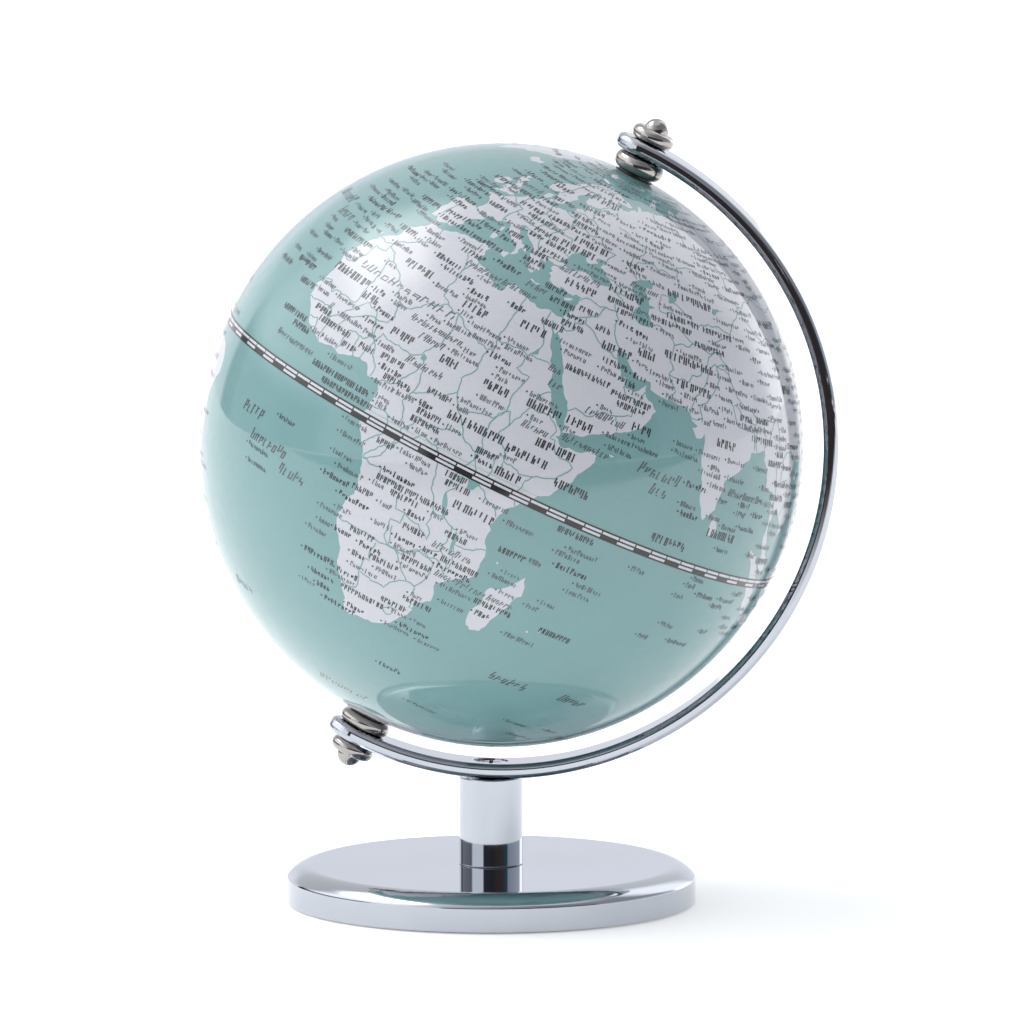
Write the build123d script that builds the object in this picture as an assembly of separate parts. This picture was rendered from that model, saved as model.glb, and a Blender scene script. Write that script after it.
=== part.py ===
from build123d import *
import math
import os

# Desktop globe on a chromed stand. A printed ball spins on two pole pins, which a tilted, C-shaped
# meridian arc holds. The arc is screwed to a short round post on a weighted disc base.
#
# Millimetres. The origin is the centre of the underside and +Z is up. The arc lies in the XZ plane,
# and the ball's north pole leans towards +X. Parts on the spin axis are drawn in a polar frame, whose
# origin is the ball's centre and whose +Z runs to the north pole, and are then put in place.

# Ball
BALL_RADIUS = 70.0
BALL_CENTRE = (2.4, 0.0, 107.0)
AXIS_TILT_DEG = 26.0
SKIN_THICKNESS = 0.2
SHELL_WALL = 1.6
JOINT_RING_HEIGHT = 10.0
JOINT_RING_WALL = 1.35
JOINT_RING_GAP = 0.05

# Pole bush, pressed into a boss inside each half of the ball
BUSH_BORE_RADIUS = 1.55
BUSH_SLEEVE_RADIUS = 2.5
BUSH_FLANGE_RADIUS = 4.6
BUSH_FLANGE_THICKNESS = 1.4
BUSH_LENGTH = 10.0
BOSS_RADIUS = 7.0
BOSS_DEPTH = 5.5

# Meridian arc: a flat strip with rounded edges, bent to a little over a half circle
ARC_INNER_RADIUS = 74.4
ARC_THICKNESS = 3.4
ARC_WIDTH = 12.4
ARC_EDGE_ROUND = 1.3
ARC_SHIFT = 0.5             # its centre lies this far north of the ball's, along the spin axis
ARC_END_BEYOND_PIN = 7.4

# Pole hardware, from the ball outwards
PIN_RADIUS = 1.5
PIN_TIP_FROM_CENTRE = 61.5
WASHER_RADIUS = 4.0
WASHER_THICKNESS = 0.4
WASHER_CLEARANCE = 0.1
BEAD_RADIUS = 6.0
BEAD_END_RADIUS = 4.4
FINIAL_RING_RADIUS = 5.1
FINIAL_RING_HEIGHT = 3.3
FINIAL_FOOT_RADIUS = 3.5
FINIAL_DOME_RADIUS = 2.9
FINIAL_HEIGHT = 6.0
PIN_DEPTH_IN_FINIAL = 2.2

# Base
BASE_RADIUS = 47.6
BASE_HEIGHT = 9.0
BASE_WALL = 1.2
BASE_SHOULDER_RADIUS = 7.5
BASE_SHOULDER_TURN_DEG = 43.0
BASE_RIM_ROUND = BASE_WALL
BASE_FOOT_ROUND = 0.3
RIM_LIFT = 0.4              # the metal rim stops this far above the table, and the pad carries it
PAD_THICKNESS = 2.0
WEIGHT_CLEARANCE = 0.5
WEIGHT_BEVEL_DROP = 2.4
WEIGHT_BEVEL_INSET = 4.8

# Post
POST_RADIUS = 7.4
POST_TOP = 29.6
POST_EDGE_ROUND = 0.3
TAP_RUNOUT = 1.0            # each tapped hole is this much deeper than its screw

# Base screw, up through the weight into the post
BASE_SCREW_RADIUS = 1.95
BASE_SCREW_HEAD_RADIUS = 3.9
BASE_SCREW_HEAD_HEIGHT = 2.0
BASE_SCREW_TIP = 19.0
SPRING_WASHER_RADIUS = 4.4
SPRING_WASHER_THICKNESS = 0.6
COUNTERBORE_RADIUS = 5.2
COUNTERBORE_TOP = 5.3

# Arc screw, down through the arc into the post
ARC_SCREW_RADIUS = 1.75
ARC_SCREW_HEAD_RADIUS = 3.9
ARC_SCREW_HEAD_RIM = 0.3
ARC_SCREW_CONE_HEIGHT = 2.1
ARC_SCREW_TIP = 22.5
ARC_SCREW_SINK = 0.25       # the head's top lies this far below the arc's inner face
COUNTERSINK_GAP = 0.1
COUNTERSINK_OVERCUT = 2.0

RECESS_LENGTH = 4.4
RECESS_WIDTH = 0.9
RECESS_DEPTH = 1.1
FIT_GAP = 0.05              # radial gap between pieces that are fixed to each other
OVERCUT = 1.0               # how far a hole's cutter runs past the faces that it opens

# Worked out from the above
SHELL_OUTER = BALL_RADIUS - SKIN_THICKNESS
SHELL_INNER = SHELL_OUTER - SHELL_WALL
ARC_OUTER_RADIUS = ARC_INNER_RADIUS + ARC_THICKNESS
ARC_MID_RADIUS = (ARC_INNER_RADIUS + ARC_OUTER_RADIUS) / 2
WASHER_START = BALL_RADIUS + WASHER_CLEARANCE
WASHER_END = WASHER_START + WASHER_THICKNESS
POLAR_FRAME = Location(BALL_CENTRE, (0, AXIS_TILT_DEG, 0))


def turned(*edges):
    """Solid of revolution about local Z, from a closed outline of edges drawn as (radius, height)."""
    outline = make_face(Curve() + list(edges))
    return revolve(Plane.XZ * outline, axis=Axis.Z)


def rod(radius, bottom, top):
    """Upright cylinder about local Z between two heights."""
    return Pos(0, 0, bottom) * Cylinder(radius, top - bottom, align=(Align.CENTER, Align.CENTER, Align.MIN))


def tube(outer, inner, bottom, top):
    return rod(outer, bottom, top) - rod(inner, bottom, top)


def cross_recess(face_height, depth):
    """The two crossed slots of a driver recess, cut from face_height by a signed depth."""
    slot = Box(RECESS_LENGTH, RECESS_WIDTH, abs(depth))
    return Pos(0, 0, face_height + depth / 2) * (slot + Rot(0, 0, 90) * slot)


# Ball

def hemisphere(outer, inner):
    return Sphere(outer, arc_size1=0, align=None) - Sphere(inner, arc_size1=0, align=None)


def half_shell():
    """Moulded half of the ball with a boss inside the pole, stepped for the bush."""
    boss_bottom = SHELL_INNER - BOSS_DEPTH
    boss = rod(BOSS_RADIUS, boss_bottom, BALL_RADIUS) & Sphere(SHELL_OUTER)
    flange_seat = BALL_RADIUS - BUSH_FLANGE_THICKNESS
    shell = hemisphere(SHELL_OUTER, SHELL_INNER) + boss
    shell -= rod(BUSH_FLANGE_RADIUS + FIT_GAP, flange_seat, BALL_RADIUS + OVERCUT)
    shell -= rod(BUSH_SLEEVE_RADIUS + FIT_GAP, boss_bottom - OVERCUT, BALL_RADIUS + OVERCUT)
    return shell


def half_skin():
    """Printed sheet glued over one half of the ball, with a hole for the bush's flange."""
    hole = rod(BUSH_FLANGE_RADIUS + FIT_GAP, SHELL_INNER, BALL_RADIUS + OVERCUT)
    return hemisphere(BALL_RADIUS, SHELL_OUTER) - hole


def pole_bush():
    """Flanged sleeve that turns on the pin."""
    flange_seat = BALL_RADIUS - BUSH_FLANGE_THICKNESS
    flange = rod(BUSH_FLANGE_RADIUS, flange_seat, BALL_RADIUS)
    sleeve_end = BALL_RADIUS - BUSH_LENGTH
    sleeve = rod(BUSH_SLEEVE_RADIUS, sleeve_end, BALL_RADIUS)
    return flange + sleeve - rod(BUSH_BORE_RADIUS, sleeve_end - OVERCUT, BALL_RADIUS + OVERCUT)


def equator_joint_ring():
    """Band inside the ball that lines up and joins its two halves."""
    half_height = JOINT_RING_HEIGHT / 2
    outer = math.sqrt(SHELL_INNER ** 2 - half_height ** 2) - JOINT_RING_GAP
    return tube(outer, outer - JOINT_RING_WALL, -half_height, half_height)


# Pole hardware, each for the pole at local +Z

def axle_pin(finial_foot):
    """Stud from inside the bush, through washer, bead and arc, into the finial."""
    return rod(PIN_RADIUS, PIN_TIP_FROM_CENTRE, finial_foot + PIN_DEPTH_IN_FINIAL)


def thrust_washer():
    return tube(WASHER_RADIUS, PIN_RADIUS + FIT_GAP, WASHER_START, WASHER_END)


def bead(top):
    """Round-edged spacer nut between the washer and the arc."""
    middle = (WASHER_END + top) / 2
    outline = turned(
        Line((0, WASHER_END), (BEAD_END_RADIUS, WASHER_END)),
        ThreePointArc((BEAD_END_RADIUS, WASHER_END), (BEAD_RADIUS, middle), (BEAD_END_RADIUS, top)),
        Line((BEAD_END_RADIUS, top), (0, top)),
        Line((0, top), (0, WASHER_END)),
    )
    return outline - rod(PIN_RADIUS + FIT_GAP, WASHER_END - OVERCUT, top + OVERCUT)


def finial(foot):
    """Cap nut with a round-edged ring and a small dome, blind-bored for the pin."""
    shoulder = foot + FINIAL_RING_HEIGHT
    crown = foot + FINIAL_HEIGHT
    ring_mid = foot + FINIAL_RING_HEIGHT / 2
    dome_rise = crown - shoulder
    dome_curve = (FINIAL_DOME_RADIUS ** 2 + dome_rise ** 2) / (2 * dome_rise)
    half_angle = math.asin(FINIAL_DOME_RADIUS / dome_curve) / 2
    dome_mid = (dome_curve * math.sin(half_angle), crown - dome_curve * (1 - math.cos(half_angle)))
    ring_start = (FINIAL_FOOT_RADIUS, foot)
    ring_end = (FINIAL_FOOT_RADIUS, shoulder)
    dome_start = (FINIAL_DOME_RADIUS, shoulder)
    body = turned(
        Line((0, foot), ring_start),
        ThreePointArc(ring_start, (FINIAL_RING_RADIUS, ring_mid), ring_end),
        Line(ring_end, dome_start),
        ThreePointArc(dome_start, dome_mid, (0, crown)),
        Line((0, crown), (0, foot)),
    )
    return body - rod(PIN_RADIUS + FIT_GAP, foot - OVERCUT, foot + PIN_DEPTH_IN_FINIAL + FIT_GAP)


# Arc

def arc_strip():
    """Bent strip in the polar frame: half a turn through local +X, round-ended and round-edged."""
    overrun_deg = math.degrees((ARC_END_BEYOND_PIN + ARC_WIDTH / 2) / ARC_MID_RADIUS)
    section = Pos(ARC_MID_RADIUS, 0, 0) * Rectangle(ARC_THICKNESS, ARC_WIDTH)
    start = Rot(0, -90 - overrun_deg, 0) * section
    strip = revolve(start, axis=Axis.Y, revolution_arc=180 + 2 * overrun_deg)
    end_centre = ARC_WIDTH / 2 - ARC_END_BEYOND_PIN
    beyond = 3 * ARC_WIDTH
    full_height = 3 * ARC_OUTER_RADIUS
    corners = Pos(end_centre - beyond / 2, 0, 0) * Box(beyond, 2 * ARC_WIDTH, full_height)
    corners -= Pos(end_centre, 0, 0) * Cylinder(ARC_WIDTH / 2, full_height)
    strip -= corners
    long_edges = strip.edges().filter_by(lambda edge: edge.length > 1.5 * ARC_THICKNESS)
    strip = fillet(long_edges, ARC_EDGE_ROUND)
    strip = Pos(0, 0, ARC_SHIFT) * strip
    return strip - Cylinder(PIN_RADIUS + FIT_GAP, full_height)


def arc_height_at_post(radius):
    """Height of one of the arc's faces above the table, over the middle of the post."""
    tilt = math.radians(AXIS_TILT_DEG)
    centre_x = BALL_CENTRE[0] + ARC_SHIFT * math.sin(tilt)
    centre_z = BALL_CENTRE[2] + ARC_SHIFT * math.cos(tilt)
    return centre_z - math.sqrt(radius ** 2 - centre_x ** 2)


def arc_screw_head_top():
    return arc_height_at_post(ARC_INNER_RADIUS) - ARC_SCREW_SINK


def countersunk_shape(gap, tip, top):
    """Shank, cone and rim of the arc screw, grown by a gap to make its hole."""
    rim_bottom = arc_screw_head_top() - ARC_SCREW_HEAD_RIM - gap
    cone_bottom = rim_bottom - ARC_SCREW_CONE_HEIGHT
    shank = ARC_SCREW_RADIUS + gap
    head = ARC_SCREW_HEAD_RADIUS + gap
    outline = Polyline(
        (0, tip),
        (shank, tip),
        (shank, cone_bottom),
        (head, rim_bottom),
        (head, top),
        (0, top),
        close=True,
    )
    return turned(outline)


def meridian_arc():
    strip = POLAR_FRAME * arc_strip()
    below = POST_TOP - OVERCUT
    above = arc_screw_head_top() + COUNTERSINK_OVERCUT
    return strip - countersunk_shape(COUNTERSINK_GAP, below, above)


def arc_screw():
    top = arc_screw_head_top()
    return countersunk_shape(0, ARC_SCREW_TIP, top) - cross_recess(top, -RECESS_DEPTH)


# Base and post

def on_circle(centre, radius, angle_deg):
    """Point on a circle in the turning plane, at an angle up from straight outwards."""
    angle = math.radians(angle_deg)
    return (centre[0] + radius * math.cos(angle), centre[1] + radius * math.sin(angle))


def shouldered_disc(inset, bottom):
    """Disc whose broad shoulder turns its top down to a small round at the wall, all shrunk by an inset."""
    turn = BASE_SHOULDER_TURN_DEG
    cos_turn = math.cos(math.radians(turn))
    flat_radius = BASE_RADIUS - BASE_RIM_ROUND * (1 - cos_turn) - BASE_SHOULDER_RADIUS * cos_turn
    shoulder_centre = (flat_radius, BASE_HEIGHT - BASE_SHOULDER_RADIUS)
    rim_centre = on_circle(shoulder_centre, BASE_SHOULDER_RADIUS - BASE_RIM_ROUND, turn)
    shoulder = BASE_SHOULDER_RADIUS - inset
    rim = BASE_RIM_ROUND - inset
    wall, top = BASE_RADIUS - inset, BASE_HEIGHT - inset
    start = on_circle(shoulder_centre, shoulder, 90)
    middle = on_circle(shoulder_centre, shoulder, (90 + turn) / 2)
    end = on_circle(shoulder_centre, shoulder, turn)
    outline = [Line((0, bottom), (wall, bottom)), Line((wall, bottom), (wall, rim_centre[1]))]
    if rim > 0:
        outline.append(ThreePointArc((wall, rim_centre[1]), on_circle(rim_centre, rim, turn / 2), end))
    outline += [ThreePointArc(end, middle, start), Line(start, (0, top)), Line((0, top), (0, bottom))]
    return turned(*outline)


def base_shell():
    """Pressed metal disc with a shouldered top edge, open underneath."""
    outer = shouldered_disc(0.0, RIM_LIFT)
    outer = fillet(outer.edges().sort_by(Axis.Z)[0], BASE_FOOT_ROUND)
    cavity = shouldered_disc(BASE_WALL, RIM_LIFT - OVERCUT)
    return outer - cavity - rod(BASE_SCREW_RADIUS + FIT_GAP, RIM_LIFT, BASE_HEIGHT + OVERCUT)


def base_weight():
    """Iron disc that fills the shell, bevelled under its shoulder and counterbored for the screw's head."""
    radius = BASE_RADIUS - BASE_WALL - WEIGHT_CLEARANCE
    top = BASE_HEIGHT - BASE_WALL
    corners = [
        (0, PAD_THICKNESS),
        (radius, PAD_THICKNESS),
        (radius, top - WEIGHT_BEVEL_DROP),
        (radius - WEIGHT_BEVEL_INSET, top),
        (0, top),
    ]
    disc = turned(Polyline(*corners, close=True))
    disc -= rod(COUNTERBORE_RADIUS, PAD_THICKNESS, COUNTERBORE_TOP)
    return disc - rod(BASE_SCREW_RADIUS + FIT_GAP, PAD_THICKNESS, BASE_HEIGHT)


def base_pad():
    """Soft disc under the weight, on which the globe stands."""
    return rod(BASE_RADIUS - BASE_WALL - WEIGHT_CLEARANCE, 0, PAD_THICKNESS)


def base_spring_washer():
    bottom = COUNTERBORE_TOP - SPRING_WASHER_THICKNESS
    return tube(SPRING_WASHER_RADIUS, BASE_SCREW_RADIUS + FIT_GAP, bottom, COUNTERBORE_TOP)


def base_screw():
    head_top = COUNTERBORE_TOP - SPRING_WASHER_THICKNESS
    head_bottom = head_top - BASE_SCREW_HEAD_HEIGHT
    head = rod(BASE_SCREW_HEAD_RADIUS, head_bottom, head_top)
    shank = rod(BASE_SCREW_RADIUS, head_top, BASE_SCREW_TIP)
    return head + shank - cross_recess(head_bottom, RECESS_DEPTH)


def post():
    """Round column, tapped at the foot for the base screw and at the top for the arc screw."""
    column = rod(POST_RADIUS, BASE_HEIGHT, POST_TOP)
    column = fillet(column.edges().sort_by(Axis.Z)[-1], POST_EDGE_ROUND)
    column -= rod(BASE_SCREW_RADIUS + FIT_GAP, BASE_HEIGHT, BASE_SCREW_TIP + TAP_RUNOUT)
    return column - rod(ARC_SCREW_RADIUS + FIT_GAP, ARC_SCREW_TIP - TAP_RUNOUT, POST_TOP)


def at_pole(part, pole):
    """Place a part drawn for local +Z at the north or the south pole."""
    turn = Rot(0, 0, 0) if pole == "north" else Rot(180, 0, 0)
    return POLAR_FRAME * (turn * part)


def pole_parts(pole):
    """Everything that the two poles have one each of, as {node name: solid}."""
    shift = ARC_SHIFT if pole == "north" else -ARC_SHIFT
    bead_top = shift + math.sqrt(ARC_INNER_RADIUS ** 2 - BEAD_END_RADIUS ** 2)
    finial_foot = shift + ARC_OUTER_RADIUS
    drawn = {
        "shell": half_shell(),
        "map_skin": half_skin(),
        "pole_bush": pole_bush(),
        "axle_pin": axle_pin(finial_foot),
        "thrust_washer": thrust_washer(),
        "bead": bead(bead_top),
        "finial": finial(finial_foot),
    }
    return {f"{pole}_{name}": at_pole(part, pole) for name, part in drawn.items()}


parts = {
    "base_shell": base_shell(),
    "base_weight": base_weight(),
    "base_pad": base_pad(),
    "base_spring_washer": base_spring_washer(),
    "base_screw": base_screw(),
    "post": post(),
    "arc_screw": arc_screw(),
    "meridian_arc": meridian_arc(),
    "equator_joint_ring": POLAR_FRAME * equator_joint_ring(),
    **pole_parts("north"),
    **pole_parts("south"),
}

os.makedirs("parts", exist_ok=True)
for name, part in parts.items():
    export_step(part, f"parts/{name}.step")
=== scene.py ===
import math
import random

import bpy
import numpy as np
from mathutils import Matrix, Vector
from mathutils.geometry import delaunay_2d_cdt


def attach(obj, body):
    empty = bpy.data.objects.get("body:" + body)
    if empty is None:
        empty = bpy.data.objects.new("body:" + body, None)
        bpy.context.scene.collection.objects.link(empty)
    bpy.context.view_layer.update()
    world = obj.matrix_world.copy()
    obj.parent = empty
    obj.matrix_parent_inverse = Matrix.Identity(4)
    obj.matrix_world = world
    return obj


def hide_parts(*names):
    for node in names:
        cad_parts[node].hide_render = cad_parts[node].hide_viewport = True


# Looks of a desktop globe: a printed ball under clear gloss, chromed arc, post and base, and nickel
# hardware at the poles. Lengths here are in millimetres and go into meshes in metres.

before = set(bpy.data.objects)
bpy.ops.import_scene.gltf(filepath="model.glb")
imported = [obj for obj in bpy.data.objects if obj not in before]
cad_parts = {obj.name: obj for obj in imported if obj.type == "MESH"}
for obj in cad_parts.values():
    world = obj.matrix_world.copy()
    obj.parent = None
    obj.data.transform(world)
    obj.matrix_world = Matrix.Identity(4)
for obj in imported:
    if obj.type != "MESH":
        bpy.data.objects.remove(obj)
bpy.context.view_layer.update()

MM = 0.001

# Sizes shared with the CAD model
BALL_RADIUS = 70.0
BALL_CENTRE = Vector((2.4, 0.0, 107.0))
AXIS_TILT = math.radians(26.0)
POLE_HOLE_RADIUS = 4.65
ARC_INNER_RADIUS = 74.4
ARC_THICKNESS = 3.4
ARC_WIDTH = 12.4
ARC_EDGE_ROUND = 1.3
ARC_SHIFT = 0.5
ARC_END_BEYOND_PIN = 7.4
ARC_SCREW_HEAD_TOP = 32.83
BASE_RADIUS = 47.6
BASE_HEIGHT = 9.0
POST_RADIUS = 7.4
POST_TOP = 29.6

# The printed map. Its middle longitude faces the viewer, and its middle latitudes are drawn a little
# too tall and its middle longitudes a little too wide.
MIDDLE_LONGITUDE = 36.0
EXTRA_HEIGHT_DEG = 3.8
EXTRA_WIDTH_DEG = 2.4

# Coasts as "longitude,latitude" places in degrees. Land rings first, then water that lies in land.
LAND = {
    "africa": """
        -5.9,35.8 -5.3,35.9 -4,35.2 -2.9,35.3 -2.2,35.1 -1,35.7 0.2,36.1 1.3,36.5 3,36.8 5,36.8 6.5,37
        7.8,36.9 9.8,37.3 10.3,36.8 11,37 10.5,36.2 11.1,35.2 10.1,34.2 10.1,33.8 11.2,33.2 13.2,32.9
        15.2,32.3 15.7,31.4 17.9,30.7 19.1,30.3 20.1,31 20,32.1 21.6,32.9 23.1,32.4 25.1,31.6 27.3,31.3
        29,30.8 30,31.3 31.1,31.5 32.3,31.2 32.5,30 32.7,29 33.6,27.8 34,26.6 35.2,24.6 35.6,23.9 35.7,22.9
        37.1,21.8 37.3,20.8 37.2,19.6 37.6,18.7 38.6,18 39.3,15.9 39.7,15.1 40.9,14.6 42.6,13.2 43.2,12.6
        43.3,12 42.6,11.6 43.3,11.4 44.3,10.4 45,10.5 46.6,10.8 48.9,11.3 51.1,11.9 51.3,10.4 50.8,9.4
        49.8,8 48.6,5.4 47,3.7 45.4,2 43.5,0.6 42,-0.9 41.5,-1.7 40.2,-2.7 39.6,-4.1 38.8,-6.2 39.5,-7
        39.3,-8.1 39.6,-9.5 40.4,-10.5 40.6,-12.6 40.8,-14.8 40,-16.4 37.9,-17.5 36.2,-18.9 34.8,-19.8
        34.7,-20.6 35.4,-21.9 35.5,-23.7 33,-25.2 32.7,-26.1 32.9,-27 32.4,-28.5 31.1,-29.8 30.2,-31.2
        28.6,-32.7 27.9,-33.1 26.5,-33.7 25.7,-34 23.5,-34.1 22.2,-34.1 20,-34.8 18.8,-34.4 18.4,-34.1
        18.3,-33.2 17.9,-32.7 18.3,-31.8 17.3,-30.4 16.4,-28.6 15.2,-26.8 14.5,-24.5 14.4,-22.6 13.4,-20.8
        12,-18.3 11.8,-16.7 12.3,-14.8 12.7,-13.5 13.6,-12.3 13.8,-10.9 13,-9.1 13.3,-8.6 12.8,-6.9
        12.2,-5.8 11.8,-4.7 10.7,-3.4 9.5,-2 8.8,-0.2 9.2,1.4 9.3,3.2 9.4,5 8.8,6.2 8.2,6.6 7.1,6.2 6,6.2
        5.3,7.3 4.4,8 2.6,8.1 1.1,7.8 0.3,7.4 -2,6.8 -3.3,7.2 -4.4,7.3 -6,6.9 -7.6,6.6 -9.1,7.4 -10.8,8
        -11.7,8.3 -12.9,9 -13.4,9.7 -14,10.2 -14.7,11 -15.4,11.5 -16.2,12 -16.8,12.5 -16.8,13.3 -17.5,14.7
        -16.7,15.6 -16.4,16.6 -16.1,18.1 -16.4,19.4 -16.9,21 -16.9,22.1 -15.9,23.8 -15,25.2 -14.4,26.3
        -13.1,27.7 -11.4,28.9 -10,29.5 -9.6,30.3 -9.8,31.4 -9.2,32.5 -7.7,33.6 -6.8,34 -6.2,35.1""",
    "eurasia": """
        32,30.9 32.4,31.1 34.2,31.3 34.9,32.4 35.1,33.1 35.6,34 35.9,35.2 35.8,36.3 36.2,36.7 35.5,36.6
        34.6,36.8 34,36.2 32.5,36.1 31.6,36.7 30.6,36.8 30.4,36.3 29.6,36.2 28.2,36.7 27.4,37 27.2,38
        26.4,38.3 26.9,39 26.1,39.5 26.2,40.1 27.5,40.4 29,40.5 29.2,41 28,41 27.3,40.7 26.1,40.5 26,40.8
        24.5,40.9 23.8,40.7 24.3,40.1 23.3,40.2 22.9,40.5 22.6,39.9 23.3,39.1 24,38.2 24,37.7 23.1,37.9
        23.2,37.3 22.9,36.6 22.4,36.6 21.7,36.9 21.2,37.8 21.3,38.4 20.6,39.1 20,39.8 19.4,40.5 19.5,41.7
        18.5,42.4 17,43 15.9,43.6 14.9,44.7 13.9,44.9 13.6,45.7 12.3,45.3 12.4,44.3 13.6,43.5 14.3,42.4
        16,41.8 16,41.4 18.4,40.3 18.4,39.9 17,40.5 16.6,39.7 17.1,39 16.6,38.4 15.7,37.9 15.9,38.7 15.7,40
        14.6,40.7 13,41.2 12,41.9 10.5,42.9 10.3,43.7 8.9,44.4 7.5,43.8 6.2,43.1 4.6,43.4 3.1,43.1 3.2,42.2
        2.1,41.3 0.6,40.6 -0.3,39.4 0.2,38.7 -0.7,37.8 -1.9,36.9 -4.5,36.6 -5.4,36.1 -6.3,36.6 -7,37.2
        -8.9,37 -8.8,38.4 -9.5,38.8 -8.8,40.7 -8.9,42.1 -9.3,43.1 -8,43.7 -5.7,43.6 -3.6,43.5 -1.8,43.4
        -1.2,44.7 -1.1,45.9 -2.3,47.1 -4.4,47.9 -4.7,48.4 -3,48.8 -1.6,48.6 -1.8,49.6 -0.2,49.3 0.2,49.7
        1.6,50.7 3.5,51.5 4.5,52.3 4.9,53.1 6.9,53.5 8.5,53.6 8.7,54.1 8.2,55.5 8.2,57 10.5,57.7 10.3,56.6
        10.9,56.4 9.9,55.3 10,54.6 11,54.1 12.5,54.4 14.2,53.9 16.5,54.5 18.5,54.8 19.4,54.3 21,55.3 21.1,57
        22.6,57.7 24.2,57 24.3,58.3 23.5,59.2 25.5,59.6 28,59.5 30,59.9 28.5,60.6 25.5,60.2 22.9,59.9
        21.4,60.8 21.3,62.5 23,63.9 25.3,65 24.2,65.8 22.3,65.8 21.5,64.5 19,63.2 17.4,61.7 17.2,60.6
        18.9,59.8 17.5,58.7 16.6,57.5 15.9,56.1 14.3,55.5 12.9,55.5 12.5,56.3 11.3,58.5 10.6,59.4 9.6,58.9
        8,58.1 6.6,58.1 5.5,59 5,61 6,62.5 9,63.6 11,64.8 12.7,66.5 14.5,67.9 17,69 20,70 24,71 28,71.1
        31,70.3 33.5,69.4 38,68.3 41.2,67 40.4,66.4 37,66.4 33,66.7 34.8,64.4 37.5,64 40,64.6 40.5,65.6
        42.5,66.4 44.1,66 44,68.5 46,68.2 46.5,66.9 48.5,67.8 54,68.4 58.5,68.9 61,69.6 65,69.2 68.5,68.4
        67,69.8 66.8,71.5 69,72.9 72.8,72.7 72.5,71 72.6,69 74,67.5 74.5,69 74,71.5 75.5,72.5 80.5,73.6
        87,75 98,76.3 104.3,77.7 112,76.5 113.5,74 110,73.9 118,73.2 127,73.4 131,71 140,72.6 150,71.4
        160,69.7 170,69.9 178,69.2 185,67.3 190.1,66 187,64.5 181,65.5 178.5,64.6 179.5,62.5 171,60 164,59.8
        162.5,57.5 162,55 156.8,51 155.7,54 156,57 161.5,60.5 163,62.4 156,61.6 152,59 143,59.3 137,55
        141,53 140.4,50 138.5,46.5 133,42.8 130.5,42.4 127.6,39.9 129.3,37.3 129.2,35.3 126.4,34.5
        126.6,37.2 124.9,38.5 125,39.6 121.5,39 121.8,40.8 118,39 119,37.4 122.5,37.2 119.3,35 121.8,31.8
        121.5,29 119.5,25.6 116.5,23 113.5,22.1 110.5,21.2 108.3,21.7 105.8,19 108.9,15.5 109.3,12
        106.8,10.4 105,8.7 104.9,10.2 102.5,12.1 100.9,13.4 99.9,12 99.3,9.2 101,6.8 103.3,4.2 103.9,1.4
        101.3,2.8 100.3,5.6 98.3,8 98.7,11 97.6,16 95.4,15.8 94.3,16.2 94,18.9 92.3,20.8 91.8,22.5 90.2,22
        88.5,21.6 87,21.4 86.5,20 85.1,19.4 82.3,16.8 80.3,15.6 80.1,13.2 79.8,10.4 78.9,9.4 78.1,8.9
        77.5,8.1 76.3,9.8 74.9,12.5 73.9,15.4 72.9,18.9 72.7,21.2 72.3,22.1 72,21.2 70.5,20.8 69,22.3
        70.3,22.9 68.6,23.4 67.2,24.8 66.5,25.4 64.5,25.2 61.6,25.2 59,25.4 57.3,25.8 56.9,27.1 56,27
        54.5,26.6 52.6,27.4 51,28.8 50.1,30.1 48.9,30.3 48,29.9 48.2,29 48.8,27.7 50.1,26.6 50.3,25.5
        50.7,24.8 50.8,25.6 51.2,26.1 51.6,25.3 51.6,24.3 54,24.2 55.5,25.5 56.3,26.3 56.4,24.9 57.5,23.8
        58.7,23.5 59.8,22.5 58.8,20.5 57.8,18.9 56.4,18 55.2,17.2 53,16.5 52.2,15.6 50,14.9 48,14 45.5,13.2
        43.5,12.7 42.9,14.8 42.7,16.6 41,18.6 39.6,20.4 39.1,21.5 38,23.9 36.8,25.7 35.4,27.6 34.7,28.1
        35,29.5 34.4,28.2 34.25,27.75 33.3,28.8 32.75,29.9 32.2,30.2""",
    "madagascar": """
        49.3,-12 50.1,-13.5 50.5,-15.4 49.7,-16 49.4,-17.9 48.5,-20.2 47.6,-23.7 47,-25 45.2,-25.6 44,-24.9
        43.4,-23.2 43.4,-21.5 44.4,-20 44.2,-18.5 44,-17 44.5,-16.2 46.2,-15.8 47.2,-14.9 48,-13.8
        48.9,-12.5""",
    "britain": """
        -5.6,50.1 -3.5,50.3 -1.5,50.7 1.3,51.1 1.7,52.7 0.2,53 -0.3,54.2 -1.6,55.3 -3,56 -2,57.5 -4,57.7
        -3.1,58.6 -5,58.6 -5.9,57.3 -5,55.8 -3.2,54.9 -3,53.7 -4.5,53.2 -4.8,51.9 -3.2,51.4""",
    "ireland": "-6.2,52.2 -6,53.5 -6,54.9 -8.2,55 -9.8,54 -10,52 -8.4,51.6",
    "iceland": "-22.5,64 -18.5,63.4 -14,64.8 -15,66.2 -20,65.9 -23.5,66.2 -24,65.3",
    "sicily": "12.5,37.8 15.5,38.2 15.1,36.7 13.5,37.2",
    "sardinia": "8.4,40.9 9.7,41 9.6,39.2 8.5,39",
    "corsica": "8.7,42.5 9.4,43 9.4,41.5 8.8,41.6",
    "crete": "23.6,35.5 26.2,35.2 25.5,34.9 23.6,35.2",
    "cyprus": "32.4,35 33.3,35.4 34.5,35.6 33.8,34.9 32.8,34.6",
    "socotra": "53.4,12.6 54.4,12.6 54,12.3 53.4,12.4",
    "sri lanka": "79.8,8.2 80.2,9.7 81.2,8.6 81.9,7 81,6.1 80.1,6.1",
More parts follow.
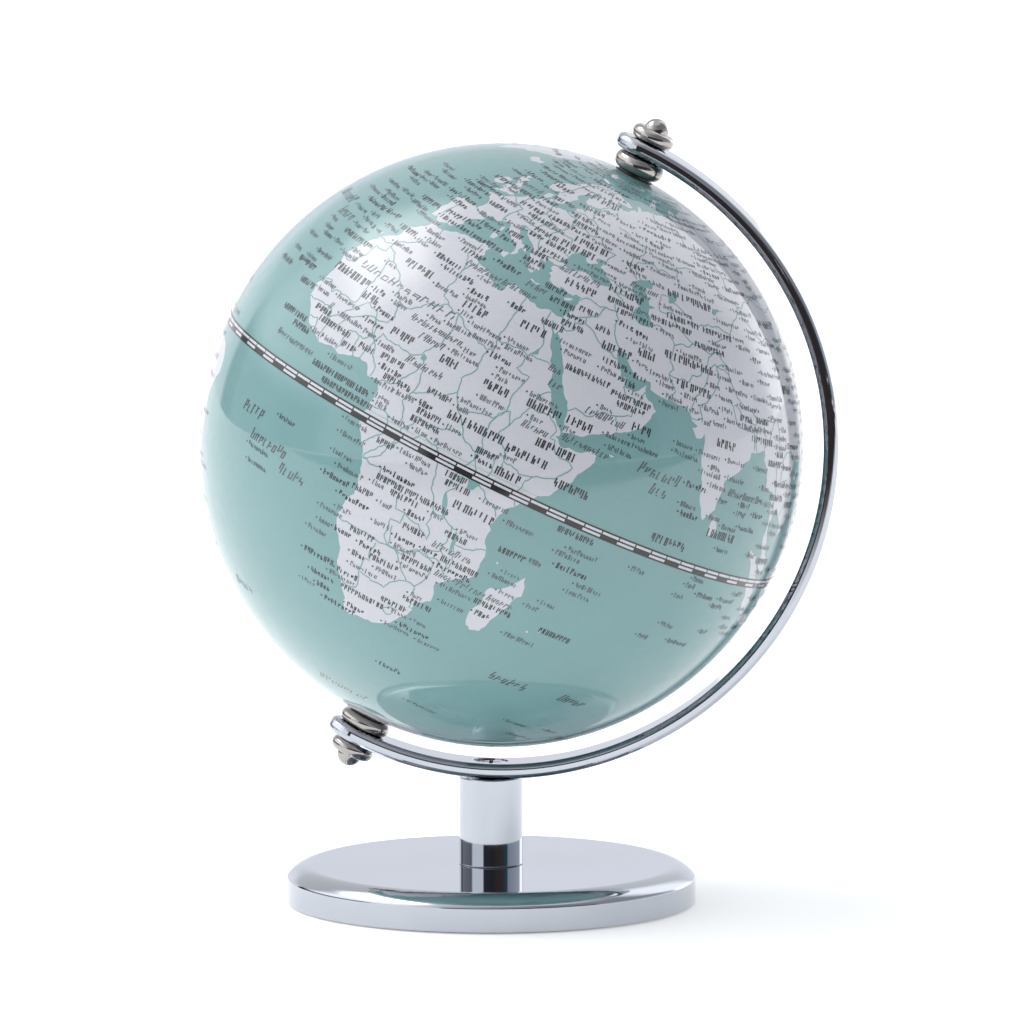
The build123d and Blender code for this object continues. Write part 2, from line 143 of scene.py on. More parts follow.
    "zealand": "11.1,55.7 12.5,56 12.2,55 11.2,55.2",
    "gotland": "18.2,57.3 19.2,57.9 18.7,57.2",
    "mauritius": "57.3,-20.2 57.6,-20 57.8,-20.3 57.5,-20.5",
    "reunion": "55.2,-21.1 55.6,-20.9 55.8,-21.3 55.4,-21.4",
    "comoro": "43.2,-11.4 43.5,-11.6 43.4,-11.9 43.2,-11.8",
    "tenerife": "-16.9,28.3 -16.2,28.6 -16.6,28",
    "canaria": "-15.8,28.1 -15.4,28.1 -15.6,27.7",
    "fuerteventura": "-14.3,28.2 -13.8,28.8 -14,28.2",
    "sumatra": """
        95.3,5.6 97.5,5.2 100.4,2.8 103,0.5 104.5,-1.8 106,-3 105.8,-5.8 104.5,-5.8 102.3,-4 100.4,-1.2
        98.7,1.6 96,4.2""",
    "java": "105.3,-6.8 106.8,-6 110.8,-6.4 114.5,-7.7 114.4,-8.7 110,-8.1 106.5,-7.4",
    "borneo": """
        109,1.5 111.3,2.5 113.2,3.3 115.5,5.5 116.8,7 119.2,5.2 117.8,3.5 118.9,1 117.5,0.2 116.3,-3.5
        114.6,-4.1 111.7,-3.4 110.1,-1.5""",
    "celebes": """
        119.4,-5.5 120.4,-5.6 120.4,-3 122.4,-5 123.2,-4 121.6,-1.9 123.3,-0.9 120.1,-0.9 120.4,0.4
        124.9,1.6 124.2,0.4 119.8,0.2 118.8,-2.8""",
    "flores": "115,-8.3 119,-8.4 122.8,-8.4 119.8,-8.9 115.2,-8.8",
    "timor": "123.6,-10.3 125,-8.9 127.2,-8.4 125.5,-9.7",
    "luzon": "120,16 120.7,18.5 122.2,18.4 121.6,15 124,12.8 121,13.7 120.2,14.8",
    "visayas": "121.9,11.8 125,12.5 125.3,10.4 123,9.2 122,10.5",
    "mindanao": "122,7.2 123.6,8.6 125.5,9.7 126.5,7.3 125.5,5.7 124,6.6",
    "taiwan": "120.1,23.2 121.5,25.3 121,22",
    "hainan": "108.7,19.2 110.8,20.1 110.2,18.5 109,18.3",
    "kyushu": "130,33.3 131,33.9 132,33 131.2,31.4 130.3,31.3",
    "honshu": """
        131,34.3 132.6,35.4 136,35.8 136.9,37.3 139.4,38.2 140,39.8 140.6,41.2 141.5,41.3 142,39.5 141,38
        140.8,35.8 138.6,34.7 136.8,34.4 135.8,33.5 135.1,34.6 132.4,34.2""",
    "shikoku": "132.1,33.4 134.3,34.3 134.2,33.3 132.9,32.8",
    "hokkaido": "140,41.6 140.4,43.3 141.8,45.4 143.6,44.1 145.5,43.3 143.3,42 141.1,41.9",
    "sakhalin": "142.1,46 142,52.5 142.8,54.3 143.5,50.5 144.6,49 143,48.8 143.3,46.6",
    "novaya zemlya": "52,71.2 55.5,73.5 59.5,75.8 68.5,76.9 62,75.4 58,73.5 57,70.8 53.5,70.9",
    "svalbard": "11,79.5 16.5,80 21.5,78.6 17,76.7 13.8,77.8",
    "franz josef": "48,80.6 58,81.6 63,80.9 55,80.2",
    "severnaya": "95,80.8 104.5,79.2 101,78.2 92,79.8",
    "new siberian": "138,75.8 150,75.2 145,73.6 139.5,74.6",
    "greenland": """
        -73,78.2 -62,81.3 -33,83.5 -18,81.5 -19,77 -22,72.5 -22.5,70.3 -31.5,68.2 -39.5,65.3 -42.8,61
        -45.5,60.1 -50.5,62.5 -53.5,66.5 -51,69.5 -55.5,72.5 -60.5,76 -69,76.3""",
    "north america": """
        -168,65.6 -162,66.6 -166.5,68.3 -156.5,71.3 -141,69.7 -128,70.4 -115,68 -108.5,68 -96,68.2 -94,71.8
        -86,68 -81.5,69.2 -86,66.3 -88,64 -94.5,61 -92.5,57 -82.5,55.2 -82.2,52.9 -79.5,51.5 -79,54.5
        -76.7,57 -78,62.3 -70,61 -65,60.2 -61.5,57 -56,52.5 -60,50.2 -66.5,50.2 -70,47 -65,49.2 -64.5,46.6
        -61,46 -65.8,43.6 -67,45 -70.7,43 -70,41.7 -74,40.6 -75.5,38 -76,35.2 -81.2,31.7 -80.1,26.8
        -81.2,25.2 -82.8,28 -84.3,30 -89.3,29.3 -94.5,29.4 -97.3,27.3 -97.7,22.3 -95,18.7 -91,18.7
        -90.2,21.2 -87,21.5 -88.3,17 -88.8,15.8 -83.5,15.2 -83.7,11 -81.5,8.9 -79.6,9.5 -77.3,8.6 -77.5,7.2
        -80.2,7.5 -83.2,8.5 -85.8,10.5 -87.6,13 -94.5,16.2 -101,17.4 -105.6,20.3 -105.8,22.7 -109.4,26.5
        -112.8,30.5 -114.8,31.6 -112.5,27.8 -109.6,23.1 -112.2,25.2 -115,28 -117.2,32.6 -120.6,34.6
        -124.2,40.3 -124.5,43 -124.6,48.3 -122.6,47.5 -123.2,49.1 -127.6,51.2 -131,55.2 -137,58.5
        -145.5,60.4 -151.5,59.3 -153.5,59.2 -158.5,56 -164.5,54.5 -158,58.6 -162,59 -165.5,61.8 -161,64.2
        -166,64.6""",
    "baffin": "-80,73.8 -68.5,70.3 -61.5,66.6 -66,62 -72,64.5 -74,67.5 -86,70.5 -89,73.2",
    "ellesmere": "-88,76.5 -78,76.5 -63,82.8 -80,83.1 -92,81.2",
    "victoria": "-117,69.5 -106,69 -105,72.8 -116,73.2",
    "banks": "-125,72 -117,74.2 -123,74.4",
    "newfoundland": "-59.2,47.7 -56,51.5 -53,47 -55.8,46.9",
    "vancouver": "-128.2,50.6 -125,50 -123.5,48.4",
    "cuba": "-84.8,21.9 -82,23.1 -74.3,20.2 -77.7,19.9 -78.5,21.3",
    "hispaniola": "-74.4,18.4 -73.2,19.9 -68.4,18.6 -71.4,17.8",
    "jamaica": "-78.3,18.3 -76.3,18.1 -77.2,17.8",
    "puerto rico": "-67.2,18.4 -65.7,18.3 -67,18",
    "trinidad": "-61.8,10.7 -60.9,10.8 -61.2,10.1",
    "south america": """
        -77.3,8.6 -75.5,10.7 -71.7,12.3 -71.5,10.8 -68.3,11 -62,10.6 -58,7 -52.5,5.3 -50,1.8 -48.5,-0.8
        -44.5,-2.5 -40,-2.9 -35.3,-5.2 -34.9,-8 -38.8,-13 -39.2,-17.8 -41.8,-22.5 -48,-25.5 -48.7,-28.5
        -52.5,-32.8 -57,-34.5 -56.9,-36.5 -62,-38.9 -62.8,-41 -65.3,-42.5 -65.6,-45 -67.5,-46.5 -65.8,-47.8
        -69,-51 -68.2,-52.5 -65.2,-54.8 -71,-54.8 -75.5,-50.5 -75.6,-46.6 -73.8,-42 -73.2,-37.2 -71.5,-32
        -70.4,-24 -70.3,-18.4 -76,-14 -81.2,-6 -80,-2.5 -80,0.6 -77.5,4 -77.7,7.2""",
    "falkland": "-61,-51.8 -58,-51.4 -59.5,-52.3",
    "australia": """
        113.7,-22.5 117,-20.6 122,-18.2 124.5,-16 127,-13.9 129.5,-14.9 131,-12.2 136.8,-12.2 135.8,-15
        139.5,-17.5 141.5,-13.5 142.5,-10.7 145,-14.9 146.3,-19 150.5,-22.5 153.3,-26 153,-31 150,-37.3
        146.5,-39 143.6,-38.8 140,-37.6 138.2,-34.4 135.6,-34.8 131.2,-31.5 126,-32.3 123.6,-33.9 118,-35.1
        115,-34.2 115.7,-31.6 113.8,-26.2""",
    "tasmania": "144.7,-40.7 148.3,-40.9 147.8,-43.2 146,-43.5",
    "new guinea": """
        131,-0.8 134.2,-0.8 134.8,-3.2 138,-1.7 144.5,-3.9 147.8,-6.5 150.5,-10.5 147,-9.5 143.5,-8.5
        139,-8.1 138,-5.4 133,-4.1 132.5,-2.8""",
    "new britain": "148.4,-5.7 152.2,-4.2 151,-6.2",
    "new caledonia": "164,-20.2 167,-22.3 165.3,-21.6",
    "new zealand north": """
        172.8,-34.5 175.3,-36.8 178.4,-37.7 176.8,-40.2 174.9,-41.5 173.8,-39.3 174.7,-37.4""",
    "new zealand south": "172.8,-40.6 174.2,-41.8 171.2,-44.3 170.5,-46.2 167.5,-46.3 167,-45 171.3,-42.3",
    "hawaii": "-156,20.2 -154.9,19.6 -155.7,19",
}
ANTARCTIC_COAST = """
    -180,-78 -165,-78.3 -150,-77 -135,-74.5 -115,-74 -100,-72.5 -80,-73 -68,-69.5 -62,-64.8 -56.5,-63.3
    -61.5,-67.5 -61,-73.5 -75,-78 -50,-78.5 -35,-78 -20,-73.5 0,-70.2 20,-70 35,-69 50,-66.5 68,-68 73,-70
    82,-67 100,-66 120,-66.8 143,-67 160,-69.8 170.5,-71.5 164,-77 180,-78"""
WATER = {
    "black sea": """
        29,41.3 28,42 27.6,42.6 28.6,43.6 28.7,44.8 29.8,45.4 30.8,46.5 31.8,46.5 33.3,46.1 32.6,45.4
        33.6,44.5 35.4,45.1 36.4,45.4 35.1,46.2 37.5,46.8 39.2,47.2 38,46.3 37.5,45.3 37.2,45 38.9,44.3
        40,43.4 41.5,42.6 41.5,41.5 39,41 36.5,41.3 35.1,42 33.3,42 31.3,41.2""",
    "caspian": """
        51.2,47 49,46.4 47.6,45.5 46.8,44.6 47.6,43 48.5,42 49.6,40.6 50.3,40.4 49.2,39.3 48.9,38.4 50,37.4
        52,36.7 53.9,37 53.8,39 53,39.5 53,40.8 54.6,41.5 52.8,41.5 52.5,42.7 50.9,44.4 51.3,45.2 53,45.3
        53,46.8""",
    "aral": "58.3,45 58.5,46 60,46.6 61.5,46.5 60.8,45 59,43.9 58.4,43.9",
    "victoria": "31.8,-0.9 32,0.1 33.2,0.4 34.2,0.1 34.1,-1.2 33.5,-2.2 32.2,-2.6",
    "tanganyika": "29.3,-3.4 29.6,-4.8 30.6,-7 31.1,-8.7 30.6,-8.6 29.6,-6.8 29.1,-5",
    "malawi": "34,-9.6 34.7,-11.2 34.9,-13.6 34.4,-14.2 34.2,-12.5 33.9,-10.5",
    "turkana": "36,4.4 36.5,3 36.6,2.5 36,3.2",
    "chad": "13.4,13 13.7,14 14.6,13.6 14.5,12.8",
    "tana": "37,12.2 37.5,12.3 37.5,11.7 37.1,11.7",
    "nasser": "32.9,24 33,23 31.6,22 32.4,23.2",
    "van": "42.3,38.6 43.2,39 43.3,38.5 42.7,38.3",
    "baikal": "103.8,51.5 106.5,53 109.4,55.8 109.9,55.4 108,53 106,51.9",
    "balkhash": "73.7,45.4 74.3,46.6 79,46.8 76,46.2 74.6,45.2",
    "ladoga": "30,60.9 31,61.6 32.8,60.7 31.3,59.9",
    "onega": "34.4,61.5 35.3,62.6 36.4,61.2 35.3,60.9",
    "vanern": "12.6,59 13.8,59.3 13.6,58.6",
    "superior": "-92,46.7 -88.2,48.7 -84.7,47.5 -85,46.6",
    "michigan": "-87.7,42 -87.8,44.5 -85,45.8 -86.2,43.5 -86.8,41.8",
    "huron": "-84,46 -81,45.8 -81.6,43.3 -83.3,43.9",
    "erie": "-83.2,41.6 -79,42.8 -81.5,42.6",
    "ontario": "-79.7,43.3 -76.3,44.1 -76.5,43.5",
    "winnipeg": "-97,50.5 -99,53.5 -97.5,53.7",
    "slave": "-116.5,61.2 -112,62.8 -112.5,61.4",
    "bear": "-124.5,66 -119,66.8 -120.5,65.4",
    "maracaibo": "-71.7,10.6 -71,9.2 -72,9.4",
    "titicaca": "-70,-15.4 -68.8,-16.3 -69.6,-16",
}

# Borders and long rivers, as open lines of the same kind of places
BORDERS = [
    """
        -2.2,35.1 -1.6,33 -1.2,32.1 -3.6,31 -5.5,29.9 -8.7,28.7 -8.7,26 -12,26 -12,23.4 -13.1,22.8 -13,21.3
        -16.9,21.3""",
    "-13.1,27.7 -8.7,27.7",
    """
        -8.7,27.4 -4.9,25 1.2,21.1 3.2,19.5 6,19.5 12,23.5 14,22.6 15,23 24,19.5 24,20 25,20 25,29.2
        25.1,31.6""",
    "12,23.5 10,24.5 9.4,26.2 9.9,28 9.5,30.3 10.3,31.8 11.5,33.1",
    "9.5,30.3 9,32.1 7.5,33.8 8.3,35 8.6,36.9",
    "25,22 31.3,22 36.8,22.1",
    "-4.9,25 -6.6,25 -5.5,15.5 -9.3,15.5 -11.5,15.6 -12.2,14.8 -14.5,16.6 -16.4,16.1",
    """
        3.2,19.5 4.2,16.8 3.5,15.4 1,15 -2,14.2 -4.3,13.1 -5.5,11 -5.5,10.4 -8,10.2 -9.3,12.4 -11.5,12.4
        -16.7,12.4""",
    "1,15 2.2,12.6 1,11 -2.8,11 -2.8,9.6 -2.5,8.2 -3.1,7.2",
    "2.2,12.6 3.6,11.7 4.1,13.5 7,13 9.6,12.8 13.3,13.7 14.1,13.1 14.6,12.5",
    "13.4,13.8 13.5,14.4 15.5,16.9 15.9,20.3 15,23",
    "2.7,8 2.8,9 3.6,11.7",
    "1.2,7.8 0.5,8.5 0,11.1",
    "-7.5,6.6 -8.4,7.5 -8.2,8.5 -8,10.2",
    "-13.3,9.6 -11.2,10 -10.3,8.5 -11.4,8.2",
    """
        8.6,6.3 9.8,6.9 11.8,7.3 13.3,9.8 14.6,12.5 15.2,11.4 15.5,10 15.5,7.5 14.5,5.5 16.1,3 16.1,2.2
        13.3,2.2 9.4,2.2""",
    "15.5,7.5 18.8,8.9 20.5,9.2 22.9,11 22.3,13.4 24,15.7 24,19.5",
    "22.9,11 24.2,8.7 26.5,6.5 27.4,5.1 22.4,4.2 18.6,4.3 18.6,3.5 16.8,1.3 16.2,-2.2 13.1,-4.7 12.4,-5.8",
    "24.2,8.7 28,9.4 31,9.8 32.4,11.7 33.2,12.2 34.1,9.9 33,8 35.9,5.3 34,4.2 30.9,3.5 28.4,4.3 27.4,5.1",
    "13.3,2.2 14.4,0 12.5,-2.3 11.1,-3.9",
    "34.1,9.9 35.3,12 36.4,14.3 37,17 38.6,18",
    "36.4,14.3 40,14.5 42.4,12.5 41.8,11 42.9,11 44,9 47.9,8 45,5 41.9,3.9 39.5,3.4 36,4.4 35.9,5.3",
    "41.9,3.9 41,2.8 41,-0.9 41.6,-1.7",
    "34,4.2 35,1.9 34,0.2",
    "30.9,3.5 31.2,2.2 29.9,0.6 29.6,-1.4 29,-2.7 29.3,-3.4",
    "34,-1 37.7,-3.1 39.2,-4.6",
    "29.6,-1.4 31.8,-1",
    "30.5,-1.1 30.8,-2.4 29.4,-4.5",
    """
        12.3,-6 16.6,-5.9 17,-7.4 19.5,-7 21.8,-7.3 22,-11 24,-10.9 25.4,-11.6 27.2,-11.6 29.8,-13.4
        29.8,-12.2 28.5,-11 28.7,-8.5 30.8,-8.3 32.9,-9.4 34,-9.6""",
    "24,-10.9 24,-13 22,-13 22,-16.2 23.4,-17.6",
    "32.9,-9.4 33.3,-12 32.7,-13.8 34.5,-14.6 35.3,-17.1 35.9,-15 34.6,-12 37.5,-11.7 40.4,-10.5",
    "11.8,-17.3 14,-17.4 18.5,-17.4 21.4,-17.9 25.2,-17.8 28,-16.5 30.2,-15 33.2,-14",
    "21,-18.3 21,-22 20,-22 20,-28.4 17.4,-28.7 16.5,-28.6",
    "30.4,-15.8 32.9,-17 32.8,-19.5 31.3,-22.4 32,-24.5 32,-26.8 32.9,-26.8",
    "25.2,-17.8 27.5,-20.5 29.4,-22.2 31.3,-22.4",
    "20,-24.8 22.7,-25.5 25.7,-25.5 27,-23.6 29.4,-22.2",
    "27,-29.6 28.6,-28.6 29.4,-29.6 28.2,-30.6 27,-29.6",
    "34.2,31.3 34.9,29.5",
    "35,29.5 36.1,29.2 37.5,30 37,31.5 39.2,32.2 42,31.1 44.7,29.2 46.5,29.1 47.5,30 48,30",
    "39.2,32.2 38.8,33.4 36.8,32.3 35.7,32.7 35.5,31.5 35,29.5",
    "35.9,35.9 36.7,36.8 40,36.8 42.4,37.1 44.8,37.2 44,39.4 44.8,39.7 46.5,38.9 48,39.6 48.9,38.4",
    "42.4,37.1 41,34.4 38.8,33.4",
    "46.5,29.1 47.7,28.5 48.4,28.5",
    "48.5,30 47.7,31 46,33 45.6,34.5 46,35.8 44.8,37.2",
    "41.5,41.5 43.5,41.1 46.5,41.3 46.7,41.8 43.5,42.7 40,43.4",
    "43.5,41.1 45.5,40.2 46.5,38.9",
    "46.7,41.8 48.5,41.8",
    "42.8,16.4 44,17.4 47,17 49,18.6 52,19 55,20 55.2,22.7 56,24.2 56.3,24.9",
    "52,19 53.1,16.7",
    "55.2,22.7 52.6,22.9 51.4,24.3",
    "53.9,37.2 56,38.2 59.3,37.5 61.2,35.6 61,34 60.6,32.2 61.8,31 60.9,29.8 61.8,28.6 63.2,27.2 61.8,25.2",
    "60.9,29.8 66.3,29.9 66.9,31.3 69.3,31.9 70.3,33.4 71.1,34.3 71.5,36 74.9,37.4",
    "61.2,35.6 64.5,36.3 66.5,37.4 69.5,37.2 71.5,36.7 74.9,37.4",
    "66.5,37.4 62,39.5 60,42 57,41.3 56,41.3 56,45 58.5,45.5",
    "60,44.2 61,44.2 66,43 66,41.9 68,41.1 71,42.3 75,42.9 80.2,42.2",
    """
        49,46.4 46.8,48.4 47.5,50.4 51,51.7 55,50.8 59.5,50.6 61.5,51 61.5,53.5 65,54.3 71,54.3 73.5,53.5
        77,54 80,50.9 87.3,49.1 85.5,47.1 82.5,45.2 80.2,42.2 76,40.4 73.6,39.4 74.9,37.4 77.8,35.5 79,32.5
        81,30.2 84,28.8 88.1,27.9 92,27.8 97,28.3""",
    "80.1,28.8 82.7,27.5 85.8,26.6 88.1,26.5 88.1,27.9",
    "68.2,23.8 71,24.4 70,26.5 72.9,29 74.5,31 75,32.5 74,34.5 77.8,35.5",
    "89,21.7 88.1,24.3 89,26.3 92.3,25 92,23.5 92.3,21.4",
    "92.3,23 94.6,25.5 97,28.3 98.7,25 99.5,22.5 101.2,21.5 102.5,22.5 105.5,23.2 108,21.6",
    "101.2,21.5 98,19.8 98.9,16.3 99.4,12.5",
    "101.2,21.5 100.5,17.5 104,18.3 105.6,14.5 102.9,12",
    """
        87.3,49.1 91,45.2 96,42.8 105,41.6 111.9,43.7 119.9,46.7 116.7,49.8 108,49.5 102,50.5 98.5,52
        92.5,50.8 87.3,49.1""",
    "116.7,49.8 121,53.3 127.5,49.8 131,47.7 135,48.4 131,44 130.6,42.4",
    "-7.4,37.2 -7,39 -6.2,41.5 -8.8,42",
    "-1.8,43.4 0.7,42.8 3.1,42.4",
    "2.5,51.1 6.1,49.5 8.2,49 7.6,47.6 6.8,46.2 7,44 7.5,43.8",
    "6.1,49.5 6,51.8 7.1,53.3",
    "14.2,53.9 14.8,51 12.2,50.3 13.8,48.8 13,47.5 9.6,47.5 7.6,47.6",
    "14.8,51 17,50.4 18.8,49.5 22.6,49.1 24,50.8 23.6,52.5 23.8,54 19.8,54.4",
    "13.8,48.8 17,48.1 22.1,48.4 26.6,48.2 28.2,45.5 29.7,45.2",
    "17,48.1 16.2,46.8 13.7,46.5 10.4,46.9",
    "22.1,48.4 20.3,46.1 22.7,44.2 27,44.1 28.6,43.7",
    "13.7,45.5 15.8,45.2 19,44.9 19.5,43.5 20.6,42 21,40.9 23,41.3 26.3,41.7 28,42",
    "23.6,51.6 30.5,51.3 34.2,52.3 35.5,50.4 40.1,49.6 38.2,47.1",
    "31.8,52.1 31,55 28.2,56.2 27.6,57.5 28,59.4",
    "21,56.1 24.9,56.4 26.6,55.7 28.2,56.2",
    "28,60.5 31.2,62.5 29.6,64.8 28.7,69 30.9,69.8",
    "11.3,59.1 12.3,61 14.2,64.5 18,68.4 20.5,69 25.8,69.8 28.7,69",
    "-123,49 -95.2,49 -89.5,48",
    "-79,43.3 -75,45 -70,46.5 -67,45",
    "-117.1,32.5 -111,31.3 -106.5,31.8 -102.5,29.7 -99.5,27.5 -97.2,25.9",
    "-141,69.6 -141,60.3",
    "-92.2,14.5 -91,17.8 -89.1,17.8",
    """
        -51.6,4.2 -56,2.2 -60,5 -64.5,3.8 -67,1.2 -69.8,-4.2 -73,-8 -70.6,-9.6 -65.4,-10.5 -60.2,-16.2
        -57.8,-19 -58,-22.1 -54.5,-24.5 -55.8,-28.2 -53.4,-33.7""",
    "-67,1.2 -67.8,6.2 -72.3,7.5 -71.5,11.8",
    "-69.8,-4.2 -75.5,-0.2 -78.5,1.4",
    "-75.5,-0.2 -78.3,-3.4 -80.3,-3.4",
    "-70.6,-9.6 -69,-12.5 -69.5,-17.5 -68,-22.8 -70.2,-33.3 -71.8,-40 -72,-50 -68.5,-52.4",
    "-68,-22.8 -62.5,-22.1 -58,-22.1",
    "129,-14.9 129,-31.7",
    "138,-16.6 138,-26 141,-26 141,-38",
    "141,-29 149,-28.8 153.5,-28.2",
    "129,-26 138,-26",
    "141,-2.6 141,-9.1",
    """
        31.3,31.3 31,29 32.6,26.2 32.9,24.2 31.3,21.8 30.5,19.2 33.5,18.8 32.5,15.6 32.6,12 31,9.4 31.6,5
        31.4,2.4 33,0.5""",
    "12.4,-6 15.5,-4.2 17.5,-0.5 21,2.1 24,1.6 25.4,-0.5 26.5,-5 28.8,-8.5",
    "6.5,6.3 6.6,8 3.6,11.5 0,16.3 -3,16.7 -6,13.6 -10,10",
    "36.2,-18.7 33.5,-16 29,-15.8 26.5,-18 23.5,-17.6 22.8,-14",
    "48,46 44.5,48.6 46,51.6 49.3,53.4 49,55.6 44,56.3 38,57.8",
    "53.5,68 54,66 57,63",
    "67.4,24 68.8,28 71.5,32.5 73.5,35 79,33",
    "88,22 87.5,25 81.5,25.5 78,29.5",
    "66.5,66.6 69,61 77,60.8 84,56.8 85,52.5",
    "83,70.5 86.5,66 90,60.5 93,55.8",
]


def places(text):
    """(longitude, latitude) pairs from a line such as "-5.9,35.8 -5.3,35.9"."""
    return [tuple(float(value) for value in pair.split(",")) for pair in text.split()]


# Ball frame: X axis towards the viewer at the map's middle longitude, Z axis through the north pole
POLE = Vector((math.sin(AXIS_TILT), 0.0, math.cos(AXIS_TILT)))
FACING = Vector((0.0, -1.0, 0.0))
EASTWARD = POLE.cross(FACING)
BALL_TURN = Matrix((FACING, EASTWARD, POLE)).transposed()
TOP_LATITUDE = 90.0 - math.degrees(math.asin(POLE_HOLE_RADIUS / BALL_RADIUS))
DEG_PER_MM = math.degrees(1.0 / BALL_RADIUS)


def printed(lon, lat):
    """Where the map prints a place: degrees east of its middle, and degrees north."""
    east = lon - MIDDLE_LONGITUDE
    east += EXTRA_WIDTH_DEG * math.sin(math.radians(east))
    north = lat + EXTRA_HEIGHT_DEG * math.sin(math.radians(2.0 * lat))
    return east, north


WEST_EDGE = printed(-180.0, 0.0)[0]
EAST_EDGE = WEST_EDGE + 360.0


def directions(east, north):
    """Unit vectors out of the ball for arrays of printed degrees."""
    e = np.radians(np.asarray(east, float))
    n = np.radians(np.asarray(north, float))
    local = np.stack([np.cos(n) * np.cos(e), np.cos(n) * np.sin(e), np.sin(n)], -1)
    return local @ np.array(BALL_TURN.transposed())


def add_object(name, data):
    """Puts a new object into the scene."""
    thing = bpy.data.objects.new(name, data)
    bpy.context.scene.collection.objects.link(thing)
    return thing


def add_mesh(name, points_mm, faces, materials, face_materials=None, normals=None):
    """A smooth mesh object from points in millimetres in the model's frame."""
    mesh = bpy.data.meshes.new(name)
    mesh.from_pydata((np.asarray(points_mm, float) * MM).tolist(), [], faces)
    for material in materials:
        mesh.materials.append(material)
    mesh.polygons.foreach_set("use_smooth", [True] * len(mesh.polygons))
    if face_materials is not None:
        mesh.polygons.foreach_set("material_index", face_materials)
    mesh.update()
    if normals is not None:
        mesh.normals_split_custom_set_from_vertices(np.asarray(normals, float).tolist())
    return add_object(name, mesh)


# Materials

def new_material(name):
    """A material with its nodes, links and main shader."""
    material = bpy.data.materials.new(name)
    material.use_nodes = True
    nodes = material.node_tree.nodes
    return material, nodes, material.node_tree.links, nodes["Principled BSDF"]


def noise(nodes, links, scale, detail=4.0, roughness=0.55):
    """Even noise that stays with the piece."""
    coordinates = nodes.new("ShaderNodeTexCoord")
    texture = nodes.new("ShaderNodeTexNoise")
    texture.inputs["Scale"].default_value = scale
    texture.inputs["Detail"].default_value = detail
    texture.inputs["Roughness"].default_value = roughness
    links.new(coordinates.outputs["Object"], texture.inputs["Vector"])
    return texture.outputs["Fac"]


def ramp(nodes, links, source, stops, socket=None):
    """Colour ramp over source, from (position, colour) stops. A plain number is a grey."""
    node = nodes.new("ShaderNodeValToRGB")
    while len(node.color_ramp.elements) < len(stops):
        node.color_ramp.elements.new(0.5)
    for element, (position, colour) in zip(node.color_ramp.elements, stops):
        element.position = position
        element.color = (*colour, 1.0) if isinstance(colour, tuple) else (colour, colour, colour, 1.0)
    links.new(source, node.inputs["Fac"])
    if socket is not None:
        links.new(node.outputs["Color"], socket)
    return node.outputs["Color"]


def bump(nodes, links, source, shader, strength, depth, socket="Normal"):
    """Relief of a given depth in metres, from source."""
    node = nodes.new("ShaderNodeBump")
    node.inputs["Strength"].default_value = strength
    node.inputs["Distance"].default_value = depth
    links.new(source, node.inputs["Height"])
    links.new(node.outputs["Normal"], shader.inputs[socket])


def printed_paper(name, colour, mottle, grain):
    """Ink on paper under clear gloss: faint mottling, fine print grain, and an almost flat coat."""
    material, nodes, links, shader = new_material(name)
    mix = nodes.new("ShaderNodeMix")
    mix.data_type = "RGBA"
    mix.blend_type = "MULTIPLY"
    mix.inputs["Factor"].default_value = 1.0
    light = tuple(min(1.0, c * (1.0 + mottle)) for c in colour)
    dark = tuple(c * (1.0 - mottle) for c in colour)
    broad = ramp(nodes, links, noise(nodes, links, scale=38.0), [(0.3, dark), (0.7, light)])
    fibres = noise(nodes, links, scale=2600.0, detail=2.0)
    fine = ramp(nodes, links, fibres, [(0.3, 1.0 - grain), (0.7, 1.0)])
    links.new(broad, mix.inputs["A"])
    links.new(fine, mix.inputs["B"])
    links.new(mix.outputs["Result"], shader.inputs["Base Color"])
    uneven = noise(nodes, links, scale=300.0)
    ramp(nodes, links, uneven, [(0.3, 0.42), (0.7, 0.54)], shader.inputs["Roughness"])
    shader.inputs["Specular IOR Level"].default_value = 0.3
    shader.inputs["Coat Weight"].default_value = 1.0
    shader.inputs["Coat Roughness"].default_value = 0.035
    shader.inputs["Coat IOR"].default_value = 1.5
    waves = noise(nodes, links, scale=160.0, detail=2.0)
    bump(nodes, links, waves, shader, strength=0.05, depth=0.0002, socket="Coat Normal")
    return material


def polished_metal(name, colour, smooth, rough, smudge_scale=60.0, ripple=0.03):
    """Plated metal: faint smudges in its gloss, slight tint changes, and a barely visible ripple."""
    material, nodes, links, shader = new_material(name)
    shader.inputs["Metallic"].default_value = 1.0
    dull = tuple(0.94 * c for c in colour)
    tint = noise(nodes, links, scale=smudge_scale * 0.5)
    smudges = noise(nodes, links, scale=smudge_scale, detail=6.0)
    ramp(nodes, links, tint, [(0.35, dull), (0.65, colour)], shader.inputs["Base Color"])
    ramp(nodes, links, smudges, [(0.35, smooth), (0.7, rough)], shader.inputs["Roughness"])
    bump(nodes, links, noise(nodes, links, scale=90.0, detail=1.0), shader, strength=ripple, depth=0.0002)
    return material


def plain_solid(name, dark, light, rough_low, rough_high, scale, relief, metallic=0.0):
    """Moulded, cast or foamed stock with its own grain."""
    material, nodes, links, shader = new_material(name)
    shader.inputs["Metallic"].default_value = metallic
    grain = noise(nodes, links, scale, detail=8.0, roughness=0.65)
    ramp(nodes, links, grain, [(0.3, dark), (0.7, light)], shader.inputs["Base Color"])
    ramp(nodes, links, grain, [(0.3, rough_high), (0.7, rough_low)], shader.inputs["Roughness"])
    bump(nodes, links, grain, shader, strength=0.4, depth=relief)
    return material


